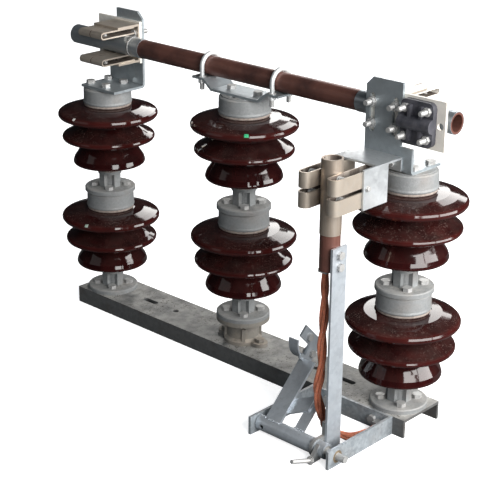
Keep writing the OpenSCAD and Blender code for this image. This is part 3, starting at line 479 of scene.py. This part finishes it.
FRAME_BARS = {
    **STEEL, "metallic": 0.55, "spangle": 0.65, "spangle_scale": 170.0, "stains": 0.40, "dust": 0.35}
PLATE = {
    "metallic": 0.75, "stain": (0.34, 0.33, 0.31), "spangle_scale": 150.0, "spangle": 0.22,
    "stains": 0.25, "stain_scale": 14.0, "roughness": 0.30, "dust": 0.20,
    "dust_colour": (0.66, 0.66, 0.65), "bump": 0.12, "crumbs": 0.0}
BARE = {**PLATE, "metallic": 0.35, "roughness": 0.42, "spangle": 0.12, "stains": 0.30, "stain_scale": 30.0}
FASTENER = {
    "metallic": 0.55, "stain": (0.30, 0.27, 0.21), "spangle_scale": 320.0, "spangle": 0.25,
    "stains": 0.35, "stain_scale": 40.0, "roughness": 0.40, "dust": 0.15,
    "dust_colour": (0.50, 0.49, 0.46), "bump": 0.15, "crumbs": 0.0}
COPPER = {
    "metallic": 0.35, "worn": (0.20, 0.092, 0.070), "dark": (0.045, 0.021, 0.019),
    "stretch": (5.0, 70.0, 70.0), "worn_amount": 0.65, "dark_amount": 0.85, "roughness": 0.30, "bump": 0.10}
TIN = {
    "metallic": 0.75, "worn": (0.56, 0.52, 0.47), "dark": (0.30, 0.25, 0.21),
    "stretch": (8.0, 90.0, 90.0), "worn_amount": 0.6, "dark_amount": 0.45, "roughness": 0.25, "bump": 0.10}
UPRIGHT = {"stretch": (70.0, 70.0, 5.0)}
COOL_TIN = {**TIN, "worn": (0.46, 0.50, 0.53), "dark": (0.20, 0.20, 0.21)}
WIRE = {
    **COPPER, "worn": (0.95, 0.52, 0.36), "dark": (0.30, 0.075, 0.04), "stretch": (300.0, 300.0, 300.0),
    "roughness": 0.28, "bump": 0.4}


def finishes_by_name(looks):
    """A finish for every material slot, and the ones that single nodes and pieces have."""
    zinc = {
        "galvanised_casting": (looks.galvanised, CASTING), "galvanised_steel": (looks.galvanised, STEEL),
        "zinc_plate": (looks.zinc, PLATE), "zinc_fastener": ((0.46, 0.46, 0.455), FASTENER),
        "dusty_casting": ((0.24, 0.225, 0.20), DUSTY), "arm_steel": ((0.505, 0.55, 0.595), ARM),
        # Pad plating is the terminal pads' own pale plating, and painted light on the right contact fingers
        "ubolt_zinc": ((0.66, 0.68, 0.69), FASTENER), "pad_plating_and_painted_light": ((0.84, 0.80, 0.73), BARE),
        "rail_steel": (looks.rail, RAIL), "frame_steel": ((0.41, 0.45, 0.48), FRAME_BARS),
        "earth_zinc": ((0.57, 0.60, 0.62), PLATE)}
    tubes = {
        "copper_tube": (looks.copper, COPPER), "plated_tube": ((0.33, 0.365, 0.395), COOL_TIN),
        "plated_contact": ((0.58, 0.51, 0.43), TIN),
        "upright_copper": (looks.copper, {**COPPER, **UPRIGHT}),
        "upright_plating": (looks.plating, {**TIN, **UPRIGHT}),
        # Dark plating that paints the shade inside the hairpin fingers and inside the earth tube's mouth
        "painted_shade_inside": ((0.13, 0.105, 0.09), {**TIN, **UPRIGHT, "roughness": 0.5})}
    stickers = {
        "green_sticker": ((0.02, 0.30, 0.12), (0.05, 0.42, 0.20), 400.0, 0.45),
        "pale_sticker": ((0.62, 0.62, 0.58), (0.45, 0.45, 0.42), 400.0, 0.55),
        "worn_sticker": ((0.45, 0.55, 0.47), (0.20, 0.26, 0.22), 300.0, 0.6)}
    return {
        **{name: zinc_finish(f"{name}_skin", *values) for name, values in zinc.items()},
        **{name: tube_finish(f"{name}_skin", *values) for name, values in tubes.items()},
        **{name: plain_finish(name, *values, bump=0.1) for name, values in stickers.items()},
        "porcelain": glaze_finish(looks),
        "copper_braid": tube_finish("copper_wire", looks.wire, WIRE),
        "clamp_casting": plain_finish(
            "clamp_casting_skin", (0.060, 0.062, 0.075), (0.12, 0.12, 0.14), 60.0, 0.45,
            metallic=0.5, bump=0.6),
        "bush_bronze": plain_finish(
            "bronze", (0.27, 0.20, 0.12), (0.17, 0.14, 0.10), 120.0, 0.5, metallic=0.5),
        "cement": plain_finish("cement", (0.30, 0.255, 0.225), (0.17, 0.14, 0.125), 160.0, 0.9),
        "floor": floor_finish(looks),
    }


FINISHES = {}
# Nodes that look different from the rest of their material slot
OWN_FINISH = {node: finish for finish, nodes in {
    "upright_copper": ("blade_tube",),
    "upright_plating": ("blade_sleeve",),
    # The right contact fingers take the pale pad plating as painted light, paler than the left ones as if
    # lit by the window
    "pad_plating_and_painted_light": ("right_contact_fingers", "right_terminal_pad", "left_terminal_pad"),
    "ubolt_zinc": ("tube_ubolts",),
    "rail_steel": ("base_channel",),
    "frame_steel": ("frame_left_strip", "frame_right_strip", "frame_back_strip"),
    "earth_zinc": ("earth_contact_bracket",),
    "dusty_casting": ("bearing_housing", "bearing_bolts", "turntable"),
    "arm_steel": ("blade_angle", "interlock_arm", "interlock_bar", "interlock_gusset", "interlock_head",
                  "torque_pipe")}.items() for node in nodes}


class ISOLATOR_OT_finishes(bpy.types.Operator):
    """Builds the shared effects and gives every CAD node its finish"""

    bl_idname = "isolator.finishes"
    bl_label = "Finishes"

    def execute(self, context):
        zinc_spangle_group()
        settled_dust_group()
        crumbs_group()
        drawn_streaks_group()
        FINISHES.update(finishes_by_name(context.scene.isolator_finishes))
        for part in frame["record"]["subparts"]:
            finish = FINISHES[OWN_FINISH.get(part["node"], part["material_slot"])]
            for holder in frame["nodes"][part["node"]].material_slots:
                holder.material = finish
        return {"FINISHED"}


# Camera, light and floor

SENSOR_WIDTH = 36.0
SIGHT_END = 60.0
FLOOR_REACH = 14.0
FLOOR_SEGMENTS = 8

# The sky's colour, its strength on matt surfaces and in reflections, and what the camera sees on top
SKY_COLOUR = (0.76, 0.88, 1.0, 1)
SKY = 0.21
SKY_GLOSS = 0.015
SKY_SEEN = 1.4

# Panes of the studio's windows: name, place, direction, width and height, power
DAYLIGHT = (0.99, 0.975, 0.955)
RIGHT_X = 3.0
PANE = (2.4, 1.0)
BACK_PANE = (1.1, 2.0)
WINDOWS = [
    (f"pane_{column}_{row}", (RIGHT_X, -1.0 + 2.5 * column, 1.25 + 1.12 * row), (-1, 0, 0), PANE, 112.0)
    for column in range(2) for row in range(2)]
WINDOWS += [
    (f"back_pane_{column}", (-2.4 + 1.25 * column, 3.3, 2.4), (0, -1, 0), BACK_PANE, 40.0)
    for column in range(2)]
WINDOWS += [("front_fill", (-1.6, -3.4, 2.3), (0.42, 0.85, -0.45), (2.6, 1.8), 8.0)]


class ISOLATOR_OT_stage(bpy.types.Operator):
    """Sets the camera at the photograph's angle, the lights and the floor"""

    bl_idname = "isolator.stage"
    bl_label = "Stage"

    def execute(self, context):
        self.camera(context)
        self.floor(context)
        self.lights(context)
        self.sky(context)
        context.scene.view_settings.view_transform = "Standard"
        return {"FINISHED"}

    def camera(self, context):
        studio = context.scene.isolator_studio
        a, e, roll = studio.azimuth, studio.elevation, studio.roll
        back = Vector((math.sin(a) * math.cos(e), -math.cos(a) * math.cos(e), math.sin(e)))
        right = Vector((math.cos(a), math.sin(a), 0))
        up = back.cross(right)
        side = math.cos(roll) * right + math.sin(roll) * up
        head = -math.sin(roll) * right + math.cos(roll) * up
        data = bpy.data.cameras.new("camera")
        data.lens = studio.lens
        data.sensor_width = SENSOR_WIDTH
        data.clip_end = SIGHT_END
        eye = bpy.data.objects.new("camera", data)
        turn = Matrix((side, head, back)).transposed().to_4x4()
        eye.matrix_world = Matrix.Translation(studio.place) @ turn
        context.scene.collection.objects.link(eye)
        context.scene.camera = eye

    def floor(self, context):
        shape = bmesh.new()
        bmesh.ops.create_grid(shape, x_segments=FLOOR_SEGMENTS, y_segments=FLOOR_SEGMENTS, size=FLOOR_REACH)
        bmesh.ops.translate(shape, verts=shape.verts, vec=(0, 0, FLOOR_Z))
        floor = bpy.data.objects.new("floor", mesh_from("floor", shape))
        context.scene.collection.objects.link(floor)
        floor.data.materials.append(FINISHES["floor"])

    def lights(self, context):
        for name, place, aim, size, power in WINDOWS:
            data = bpy.data.lights.new(name, "AREA")
            data.shape = "RECTANGLE"
            data.size, data.size_y = size
            data.energy = power
            data.color = DAYLIGHT
            lamp = bpy.data.objects.new(name, data)
            lamp.location = place
            lamp.rotation_euler = Vector(aim).to_track_quat("-Z", "Y").to_euler()
            context.scene.collection.objects.link(lamp)

    def sky(self, context):
        world = bpy.data.worlds.new("studio")
        world.use_nodes = True
        tree = world.node_tree
        ray = add(tree, "ShaderNodeLightPath")
        level = add(tree, "ShaderNodeMapRange", {
            "Value": (ray, "Is Glossy Ray"), "To Min": SKY, "To Max": SKY_GLOSS})
        sky = tree.nodes["Background"]
        sky.inputs["Color"].default_value = SKY_COLOUR
        feed(tree, sky, "Strength", arithmetic(
            tree, "MULTIPLY_ADD", (ray, "Is Camera Ray"), SKY_SEEN, (level, "Result")))
        context.scene.world = world


# Earth braid

BRAID_ROUTE = [
    (0.393, -0.192, 0.332), (0.393, -0.192, 0.316), (0.393, -0.192, 0.300), (0.396, -0.195, 0.275),
    (0.398, -0.198, 0.240), (0.396, -0.199, 0.195), (0.396, -0.198, 0.150), (0.393, -0.198, 0.115),
    (0.386, -0.197, 0.082), (0.388, -0.195, 0.056), (0.392, -0.191, 0.033), (0.389, -0.182, 0.011),
    (0.385, -0.169, -0.007), (0.392, -0.157, -0.020), (0.412, -0.152, -0.026), (0.433, -0.147, -0.027),
    (0.446, -0.133, -0.025), (0.448, -0.116, -0.024), (0.448, -0.100, -0.024), (0.448, -0.084, -0.024)]
ROUTE_STEPS = 10

BUNDLES = 4
# Length of one turn of the bundles round the braid's middle, and of the strands round their bundle's
BUNDLE_LAY = 0.30
STRAND_LAY = 0.055
# How far bundles and strands stand out, and a strand's radius, as parts of the braid's radius
BUNDLE_REACH = 0.44
STRAND_REACH = 0.33
STRAND_R = 0.155
STRAND_SIDES = 6
# How far the bundles hang apart, how often, and how many points at each end they take to do so
SLACK = 0.50
SLACK_EVERY = 0.13
SLACK_START = 24


def smooth_route(points, steps):
    """A smooth curve through the points, with the given steps between each two."""
    route = [Vector(p) for p in points]
    last = len(route) - 1
    path = []
    for i in range(last):
        a, b, c, d = route[max(i - 1, 0)], route[i], route[i + 1], route[min(i + 2, last)]
        for k in range(steps):
            t = k / steps
            path.append(0.5 * (2 * b + (c - a) * t + (2 * a - 5 * b + 4 * c - d) * t * t
                               + (3 * b - a - 3 * c + d) * t * t * t))
    path.append(route[last])
    return path


def steady_frames(path):
    """Two vectors across the path at each point, carried along it without twist."""
    frames = []
    side = None
    for i in range(len(path)):
        along = (path[min(i + 1, len(path) - 1)] - path[max(i - 1, 0)]).normalized()
        side = (side or along.orthogonal()).copy()
        side = (side - along * side.dot(along)).normalized()
        frames.append((side, along.cross(side)))
    return frames


def tube_along(target, path, radius, sides, offset=lambda i: (0.0, 0.0)):
    """Adds a closed tube to a bmesh, its axis shifted sideways by offset(i) = (side, up)."""
    rings = []
    for i, (point, (side, up)) in enumerate(zip(path, steady_frames(path))):
        shift = offset(i)
        rings.append(circle(target, point + side * shift[0] + up * shift[1], radius, side, up, sides))
    closed_solid(target, rings)


class ISOLATOR_OT_earth_braid(bpy.types.Operator):
    """Lays the stranded copper braid from the earth tube to the frame"""

    bl_idname = "isolator.earth_braid"
    bl_label = "Earth Braid"

    def execute(self, context):
        sizes = context.scene.isolator_sizes
        path = smooth_route(BRAID_ROUTE, ROUTE_STEPS)
        steps = [0.0]
        for a, b in zip(path, path[1:]):
            steps.append(steps[-1] + (b - a).length)
        outer = sizes.braid_diameter / 2
        last = len(path) - 1
        shape = bmesh.new()
        for bundle in range(BUNDLES):
            phase = 2 * math.pi * bundle / BUNDLES
            for strand in range(sizes.strand_count):
                start = 2 * math.pi * strand / sizes.strand_count

                def place(i, phase=phase, start=start):
                    free = min(1.0, min(i, last - i) / SLACK_START)
                    swing = phase + 2 * math.pi * steps[i] / BUNDLE_LAY
                    loose = 0.5 + 0.5 * math.sin(2 * math.pi * steps[i] / SLACK_EVERY + 2 * phase)
                    reach = outer * (BUNDLE_REACH + SLACK * free * loose)
                    turn = start + 2 * math.pi * steps[i] / STRAND_LAY
                    return (reach * math.cos(swing) + STRAND_REACH * outer * math.cos(turn),
                            reach * math.sin(swing) + STRAND_REACH * outer * math.sin(turn))

                tube_along(shape, path, outer * STRAND_R, STRAND_SIDES, place)
        braid = bpy.data.objects.new("copper_braid", mesh_from("copper_braid", shape))
        context.scene.collection.objects.link(braid)
        braid.data.materials.append(FINISHES["copper_braid"])
        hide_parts("earth_braid")
        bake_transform(braid)
        return {"FINISHED"}


# Cement joints of the porcelains

FOOT_RING = ((0.024, -0.001), (0.0292, -0.001), (0.0316, 0.0005), (0.0318, 0.0035), (0.024, 0.0035))
CAP_JOINT = 0.166
BAND_R = 0.054
BAND_DEPTH = 0.003
CAP_GAP = 0.0008


class ISOLATOR_OT_cement(bpy.types.Operator):
    """Lays the bare bands under the caps and the cement rings on the pedestals"""

    bl_idname = "isolator.cement"
    bl_label = "Cement Joints"

    def execute(self, context):
        height = context.scene.isolator_sizes.cement_height
        band = [(BAND_R - BAND_DEPTH, -height), (BAND_R + 0.0008, -height), (BAND_R + 0.0014, -height / 2),
                (BAND_R + 0.0004, -CAP_GAP), (BAND_R - BAND_DEPTH, -CAP_GAP)]
        for stack, body in STACKS.items():
            shape = bmesh.new()
            for unit in ("lower", "upper"):
                foot = foot_of(f"{stack}_{unit}_porcelain")
                turned_ring(shape, foot, FOOT_RING)
                turned_ring(shape, foot + UP * CAP_JOINT, band)
            piece_from(f"{stack}_cement", shape, "cement", body)
        return {"FINISHED"}


# Threads and washers

TUBE_Z = 0.615
CONTACT_X = 0.405
EARTH_AXIS = Vector((0.402, -0.192, 0.0))

THREAD_PITCH = 0.0017
ROOT_DEPTH = 0.0001
RIDGE_HEIGHT = 0.0005
CHAMFER = 0.0012
WASHER_SIDES = 28
HEAD_SIDES = 6

# Half spacings of the bolts, then the start and length of their threads
BOLT_R = 0.005
CARRIER_BOLTS = (0.0275, 0.021)
CARRIER_THREAD = (0.0565, 0.0135)
CLAMP_X = 0.486
CLAMP_BOLTS = (0.025, 0.027)
CLAMP_THREAD = (0.061, 0.017)
SADDLE_BOLTS = (0.101, 0.0263)
SADDLE_THREAD = (0.581, 0.014)
SADDLE_WASHER_Z = 0.594
SADDLE_WASHER_R = 0.009

# The blade's stop bolt
STOP_START = Vector((0.431, -0.266, -0.032))
STOP_AXIS = Vector((0, -math.sin(math.radians(70)), math.cos(math.radians(70))))
STOP_THREAD = (0.005, 0.054)
STOP_R = 0.004
STOP_WASHER_R = 0.0088

# The small bolt in the earth contact's cheek
CHEEK_BOLT_IN = 0.0115
CHEEK_BOLT_Z = 0.503
CHEEK_WASHER_R = 0.0062
CHEEK_HEAD = ((0.0, 0.0046), (0.0, 0.0050), (0.0032, 0.0050), (0.0037, 0.0044))


def thread(target, spot, axis, span, radius):
    """Adds thread ridges round a bolt's free end, with a chamfered tip; span is (start, length)."""
    start, length = span
    turns = max(2, int(length / THREAD_PITCH))
    outline = []
    for i in range(turns):
        root = i * THREAD_PITCH
        outline += [(root, radius - ROOT_DEPTH), (root + THREAD_PITCH / 2, radius + RIDGE_HEIGHT)]
    end = turns * THREAD_PITCH
    outline += [(end, radius - ROOT_DEPTH), (end + CHAMFER, radius - CHAMFER)]
    turned_rod(target, spot + axis * start, axis, outline)


def washer(target, centre, axis, radius, thickness):
    """Adds a washer with softened edges, standing on its centre point."""
    edge = thickness * 0.25
    turned_rod(target, centre, axis, [
        (0.0, radius - edge), (edge, radius), (thickness - edge, radius), (thickness, radius - edge)],
        WASHER_SIDES)


class ISOLATOR_OT_threads(bpy.types.Operator):
    """Cuts threads on the bolts' free ends and lays washers under the heads"""

    bl_idname = "isolator.threads"
    bl_label = "Threads and Washers"

    def execute(self, context):
        thickness = context.scene.isolator_sizes.washer_thickness
        fixed, turning, swinging = bmesh.new(), bmesh.new(), bmesh.new()
        for s, t in CORNERS:
            x, z = CARRIER_BOLTS
            for side, out in ((1, FRONT), (-1, BACK)):
                spot = Vector((side * (CONTACT_X + s * x), 0, TUBE_Z + t * z))
                thread(fixed, spot, out, CARRIER_THREAD, BOLT_R)
            x, z = CLAMP_BOLTS
            thread(fixed, Vector((CLAMP_X + s * x, 0, TUBE_Z + t * z)), FRONT, CLAMP_THREAD, BOLT_R)
            x, y = SADDLE_BOLTS
            level, length = SADDLE_THREAD
            thread(turning, Vector((s * x, t * y, level)), DOWN, (0.0, length), BOLT_R)
            washer(turning, Vector((s * x, t * y, SADDLE_WASHER_Z)), UP, SADDLE_WASHER_R, thickness)
        thread(swinging, STOP_START, STOP_AXIS, STOP_THREAD, STOP_R)
        washer(swinging, STOP_START, STOP_AXIS, STOP_WASHER_R, thickness)
        low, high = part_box("earth_contact_bracket")
        cheek = Vector((high.x, low.y + CHEEK_BOLT_IN, CHEEK_BOLT_Z))
        washer(fixed, cheek, ALONG, CHEEK_WASHER_R, thickness)
        turned_rod(fixed, cheek + ALONG * thickness, ALONG, CHEEK_HEAD, HEAD_SIDES)
        for name, shape, body in (("base_threads", fixed, "base"), ("rotor_threads", turning, "rotor"),
                                  ("blade_threads", swinging, "earth_blade")):
            piece_from(name, shape, "zinc_fastener", body, smooth=False)
        return {"FINISHED"}


# Painted shade linings and springs of the hairpin fingers

FINGER_GAP_MOST = 0.038
LINING_LIFT = 0.0004
LINING_THICKNESS = 0.0003
TINY_FACE = 1e-12
LEAN_MOST = 0.3
# The axis that the edges of each node's hairpins face
EDGES_FACE = {"earth_contact_fingers": 2, "right_contact_fingers": 1, "left_contact_fingers": 1}

COIL_TURNS = 5
COIL_STEPS = 14
WIRE_SIDES = 6
# Springs: length, coil radius and wire radius, then their feet in the fingers
FINGER_SPRING = (0.0105, 0.0048, 0.0009)
FINGER_SPRING_X = 0.020
FINGER_SPRING_Y = 0.052
FINGER_SPRING_Z = 0.0255
EARTH_SPRING = (0.0213, 0.0070, 0.0014)
EARTH_SPRING_X = 0.0245
EARTH_SPRING_Y = -0.203
EARTH_FINGER_ZS = (0.4865, 0.5255)
SPRING_PIN_R = 0.0028


def add_inner_faces(target, node, edge_axis):
    """Adds the faces of a node's hairpins that look at each other across a finger's gap."""
    source = frame["nodes"][node]
    points = [source.matrix_world @ vert.co for vert in source.data.vertices]
    polygons = [tuple(polygon.vertices) for polygon in source.data.polygons]
    tree = BVHTree.FromPolygons(points, polygons)
    for corners in polygons:
        ring = [points[k] for k in corners]
        normal = (ring[1] - ring[0]).cross(ring[2] - ring[0])
        if normal.length < TINY_FACE:
            continue
        normal.normalize()
        centre = sum(ring, Vector()) / len(ring)
        hit = tree.ray_cast(centre + normal * LINING_LIFT, normal, FINGER_GAP_MOST)
        if abs(normal[edge_axis]) < LEAN_MOST and hit[0] is not None:
            target.faces.new([target.verts.new(point + normal * LINING_LIFT) for point in ring])


def coil(target, start, axis, length, radius, wire_r):
    """Adds a compression spring along an axis."""
    side, other = across(axis)
    count = COIL_TURNS * COIL_STEPS
    path = [start + axis * (length * i / count)
            + radius * (math.cos(2 * math.pi * COIL_TURNS * i / count) * side
                        + math.sin(2 * math.pi * COIL_TURNS * i / count) * other) for i in range(count + 1)]
    tube_along(target, path, wire_r, WIRE_SIDES)


class ISOLATOR_OT_linings(bpy.types.Operator):
    """Lays dark sheets on the insides of the hairpin fingers, painted shade for their shadowed gaps"""

    bl_idname = "isolator.linings"
    bl_label = "Finger Linings"

    def execute(self, context):
        shape = bmesh.new()
        for node, edge_axis in EDGES_FACE.items():
            add_inner_faces(shape, node, edge_axis)
        bmesh.ops.remove_doubles(shape, verts=shape.verts[:], dist=LINING_LIFT)
        bmesh.ops.solidify(shape, geom=shape.faces[:], thickness=LINING_THICKNESS)
        # The linings paint the shade that falls in the fingers' gaps
        piece_from("finger_painted_shade", shape, "painted_shade_inside", "base", smooth=False)
        return {"FINISHED"}


class ISOLATOR_OT_springs(bpy.types.Operator):
    """Puts the pressure springs inside the hairpin fingers"""

    bl_idname = "isolator.springs"
    bl_label = "Finger Springs"

    def execute(self, context):
        shape = bmesh.new()
        for s, t in CORNERS:
            for side, y in ((1, FINGER_SPRING_Y), (-1, -FINGER_SPRING_Y)):
                foot = Vector((side * (CONTACT_X + s * FINGER_SPRING_X), y, TUBE_Z + t * FINGER_SPRING_Z))
                coil(shape, foot, UP * t, *FINGER_SPRING)
        for s in SIGNS:
            for level in EARTH_FINGER_ZS:
                foot = Vector((EARTH_AXIS.x + s * EARTH_SPRING_X, EARTH_SPRING_Y, level))
                coil(shape, foot, ALONG * s, *EARTH_SPRING)
                turned_rod(shape, foot, ALONG * s, [(0.0, SPRING_PIN_R), (EARTH_SPRING[0], SPRING_PIN_R)])
        piece_from("finger_springs", shape, "zinc_fastener", "base")
        return {"FINISHED"}


# Plated mouth of the earth tube with a painted shade lining, and rings on the contact tube

EARTH_TOP = 0.561
EARTH_OUT_R = 0.021
RIM_SECTION = (
    (0.0159, -0.0005), (0.0163, 0.0004), (EARTH_OUT_R - 0.0007, 0.0004),
    (EARTH_OUT_R - 0.0001, -0.0001), (EARTH_OUT_R - 0.0001, -0.0005))
# A dark sleeve just inside the mouth, painted shade for the tube's inside
LINING_SECTION = ((0.0158, -0.060), (0.0158, 0.0), (0.0164, 0.0), (0.0164, -0.060))
LINING_DROP = 0.0006
RING_X = 0.345
RING_SECTION = ((0.0219, -0.0022), (0.0228, -0.0016), (0.0228, 0.0016), (0.0219, 0.0022))


class ISOLATOR_OT_tube_trim(bpy.types.Operator):
    """Plates the earth tube's mouth, lines its inside with painted shade and lays the pale rings round the
    contact tube
    """

    bl_idname = "isolator.tube_trim"
    bl_label = "Tube Trim"

    def execute(self, context):
        top = EARTH_AXIS + UP * EARTH_TOP
        rim, lining, rings = bmesh.new(), bmesh.new(), bmesh.new()
        turned_ring(rim, top, RIM_SECTION)
        turned_ring(lining, top - UP * LINING_DROP, LINING_SECTION)
        for s in SIGNS:
            turned_ring(rings, Vector((s * RING_X, 0, TUBE_Z)), RING_SECTION, ALONG)
        piece_from("earth_tube_rim", rim, "upright_plating", "earth_blade")
        # The lining is painted shade inside the tube's mouth
        piece_from("earth_tube_painted_shade", lining, "painted_shade_inside", "earth_blade")
        piece_from("tube_rings", rings, "zinc_fastener", "rotor")
        return {"FINISHED"}


# Weld beads on the earth blade's pipe

SHAFT = Vector((0, -0.234, -0.020))
PIPE_R = 0.016
ARM_ANGLE = math.radians(44)
ARM_EDGES = (0.285, 0.291)
ARM_HALF_W = 0.013
BAR_SPAN = (0.353, 0.373)
BAR_EDGES = (-0.0045, 0.0025)
FLANGE_SPAN = (0.293, 0.321)
FLANGE_EDGES = (ARM_HALF_W + 0.0005,)
BEAD_STEP = 0.0022
BEAD_R = 0.0021
BEAD_WAVE = 0.0004
BEAD_TURN = 2.4
BEAD_LIFT = 0.0006
ARM_BEAD_OUT = 0.0008


class ISOLATOR_OT_welds(bpy.types.Operator):
    """Lays weld beads where the interlock's arm and bar stand on the pipe"""

    bl_idname = "isolator.welds"
    bl_label = "Welds"

    def execute(self, context):
        out = Vector((0, math.cos(ARM_ANGLE), math.sin(ARM_ANGLE)))
        over = Vector((0, -math.sin(ARM_ANGLE), math.cos(ARM_ANGLE)))

        def on_pipe(x, height):
            reach = math.sqrt(PIPE_R ** 2 - height ** 2) + BEAD_LIFT
            return SHAFT + ALONG * x + over * height + out * reach

        shape = bmesh.new()
        for x, s in zip(ARM_EDGES, SIGNS):
            count = round(2 * ARM_HALF_W / BEAD_STEP)
            for i in range(count + 1):
                height = ARM_HALF_W * (2 * i / count - 1)
                self.drop(shape, on_pipe(x + s * ARM_BEAD_OUT, height), i)
        for (low, high), heights in ((BAR_SPAN, BAR_EDGES), (FLANGE_SPAN, FLANGE_EDGES)):
            count = round((high - low) / BEAD_STEP)
            for height in heights:
                for i in range(count + 1):
                    self.drop(shape, on_pipe(low + (high - low) * i / count, height), i)
        piece_from("weld_beads", shape, "arm_steel", "earth_blade")
        return {"FINISHED"}

    def drop(self, shape, place, i):
        radius = BEAD_R + BEAD_WAVE * math.sin(BEAD_TURN * i)
        bmesh.ops.create_icosphere(shape, subdivisions=2, radius=radius, matrix=Matrix.Translation(place))


# Stickers on the sheds

RIM_DROP = 0.027
RIM_R = 0.009
RIM_CENTRE_R = 0.108
STICKER_TILT = math.radians(50)
STICKER_FACES = (-0.0002, 0.00025)
STICKER_STEPS = 6
# Name and finish, porcelain, body, azimuth in degrees, side length
STICKERS = (
    ("green_sticker", "middle_upper_porcelain", "rotor", -45, 0.0095),
    ("pale_sticker", "left_upper_porcelain", "base", -85, 0.0070),
    ("worn_sticker", "left_lower_porcelain", "base", -72, 0.0080))


class ISOLATOR_OT_stickers(bpy.types.Operator):
    """Sticks the small bare stickers on the rims of the top sheds"""

    bl_idname = "isolator.stickers"
    bl_label = "Stickers"

    def execute(self, context):
        for name, node, body, azimuth, size in STICKERS:
            rim = foot_of(node) + UP * (CAP_JOINT - RIM_DROP)
            piece_from(name, self.wrapped(rim, math.radians(azimuth), size), name, body)
        return {"FINISHED"}

    def wrapped(self, rim, azimuth, size):
        """A thin square skin bent over the rim at the azimuth."""
        shape = bmesh.new()
        steps = STICKER_STEPS
        places = [size * (k / steps - 0.5) for k in range(steps + 1)]
        layers = []
        for lift in STICKER_FACES:
            layers.append([[shape.verts.new(rim + self.bent(RIM_R + lift, azimuth, sideways, upwards))
                            for upwards in places] for sideways in places])
        for rows in layers:
            for i in range(steps):
                for k in range(steps):
                    shape.faces.new((rows[i][k], rows[i + 1][k], rows[i + 1][k + 1], rows[i][k + 1]))
        under, over = layers
        edge = [(i, 0) for i in range(steps)] + [(steps, k) for k in range(steps)]
        edge += [(steps - i, steps) for i in range(steps)] + [(0, steps - k) for k in range(steps)]
        for (a, b), (c, d) in zip(edge, edge[1:] + edge[:1]):
            shape.faces.new((under[a][b], under[c][d], over[c][d], over[a][b]))
        return shape

    def bent(self, reach, azimuth, sideways, upwards):
        """A point of the sticker bent over the rim, from the point on the axis at the rim's height."""
        turn = azimuth + sideways / (RIM_CENTRE_R + RIM_R)
        tilt = STICKER_TILT + upwards / RIM_R
        outwards = Vector((math.cos(turn), math.sin(turn), 0))
        return outwards * (RIM_CENTRE_R + reach * math.cos(tilt)) + UP * reach * math.sin(tilt)


# Sidebar and registration

STEPS = (
    "finishes", "stage", "earth_braid", "cement", "threads", "linings", "springs", "tube_trim", "welds",
    "stickers")


class ISOLATOR_PT_sidebar(bpy.types.Panel):
    bl_idname = "ISOLATOR_PT_sidebar"
    bl_label = "Isolator Pole"
    bl_space_type = "VIEW_3D"
    bl_region_type = "UI"
    bl_category = "Isolator"

    def draw(self, context):
        for step in STEPS:
            self.layout.operator(f"isolator.{step}")
        for group in (context.scene.isolator_sizes, context.scene.isolator_finishes,
                      context.scene.isolator_studio):
            for name in group.bl_rna.properties.keys():
                if name not in ("rna_type", "name"):
                    self.layout.prop(group, name)


CLASSES = (
    IsolatorSizes, IsolatorFinishes, IsolatorStudio, ISOLATOR_OT_finishes, ISOLATOR_OT_stage,
    ISOLATOR_OT_earth_braid, ISOLATOR_OT_cement, ISOLATOR_OT_threads, ISOLATOR_OT_linings,
    ISOLATOR_OT_springs, ISOLATOR_OT_tube_trim, ISOLATOR_OT_welds, ISOLATOR_OT_stickers,
    ISOLATOR_PT_sidebar)


def register():
    for kind in CLASSES:
        bpy.utils.register_class(kind)
    bpy.types.Scene.isolator_sizes = PointerProperty(type=IsolatorSizes)
    bpy.types.Scene.isolator_finishes = PointerProperty(type=IsolatorFinishes)
    bpy.types.Scene.isolator_studio = PointerProperty(type=IsolatorStudio)


def unregister():
    del bpy.types.Scene.isolator_sizes
    del bpy.types.Scene.isolator_finishes
    del bpy.types.Scene.isolator_studio
    for kind in reversed(CLASSES):
        bpy.utils.unregister_class(kind)


def main():
    register()
    for step in STEPS:
        getattr(bpy.ops.isolator, step)()


if __name__ == "__main__":
    main()
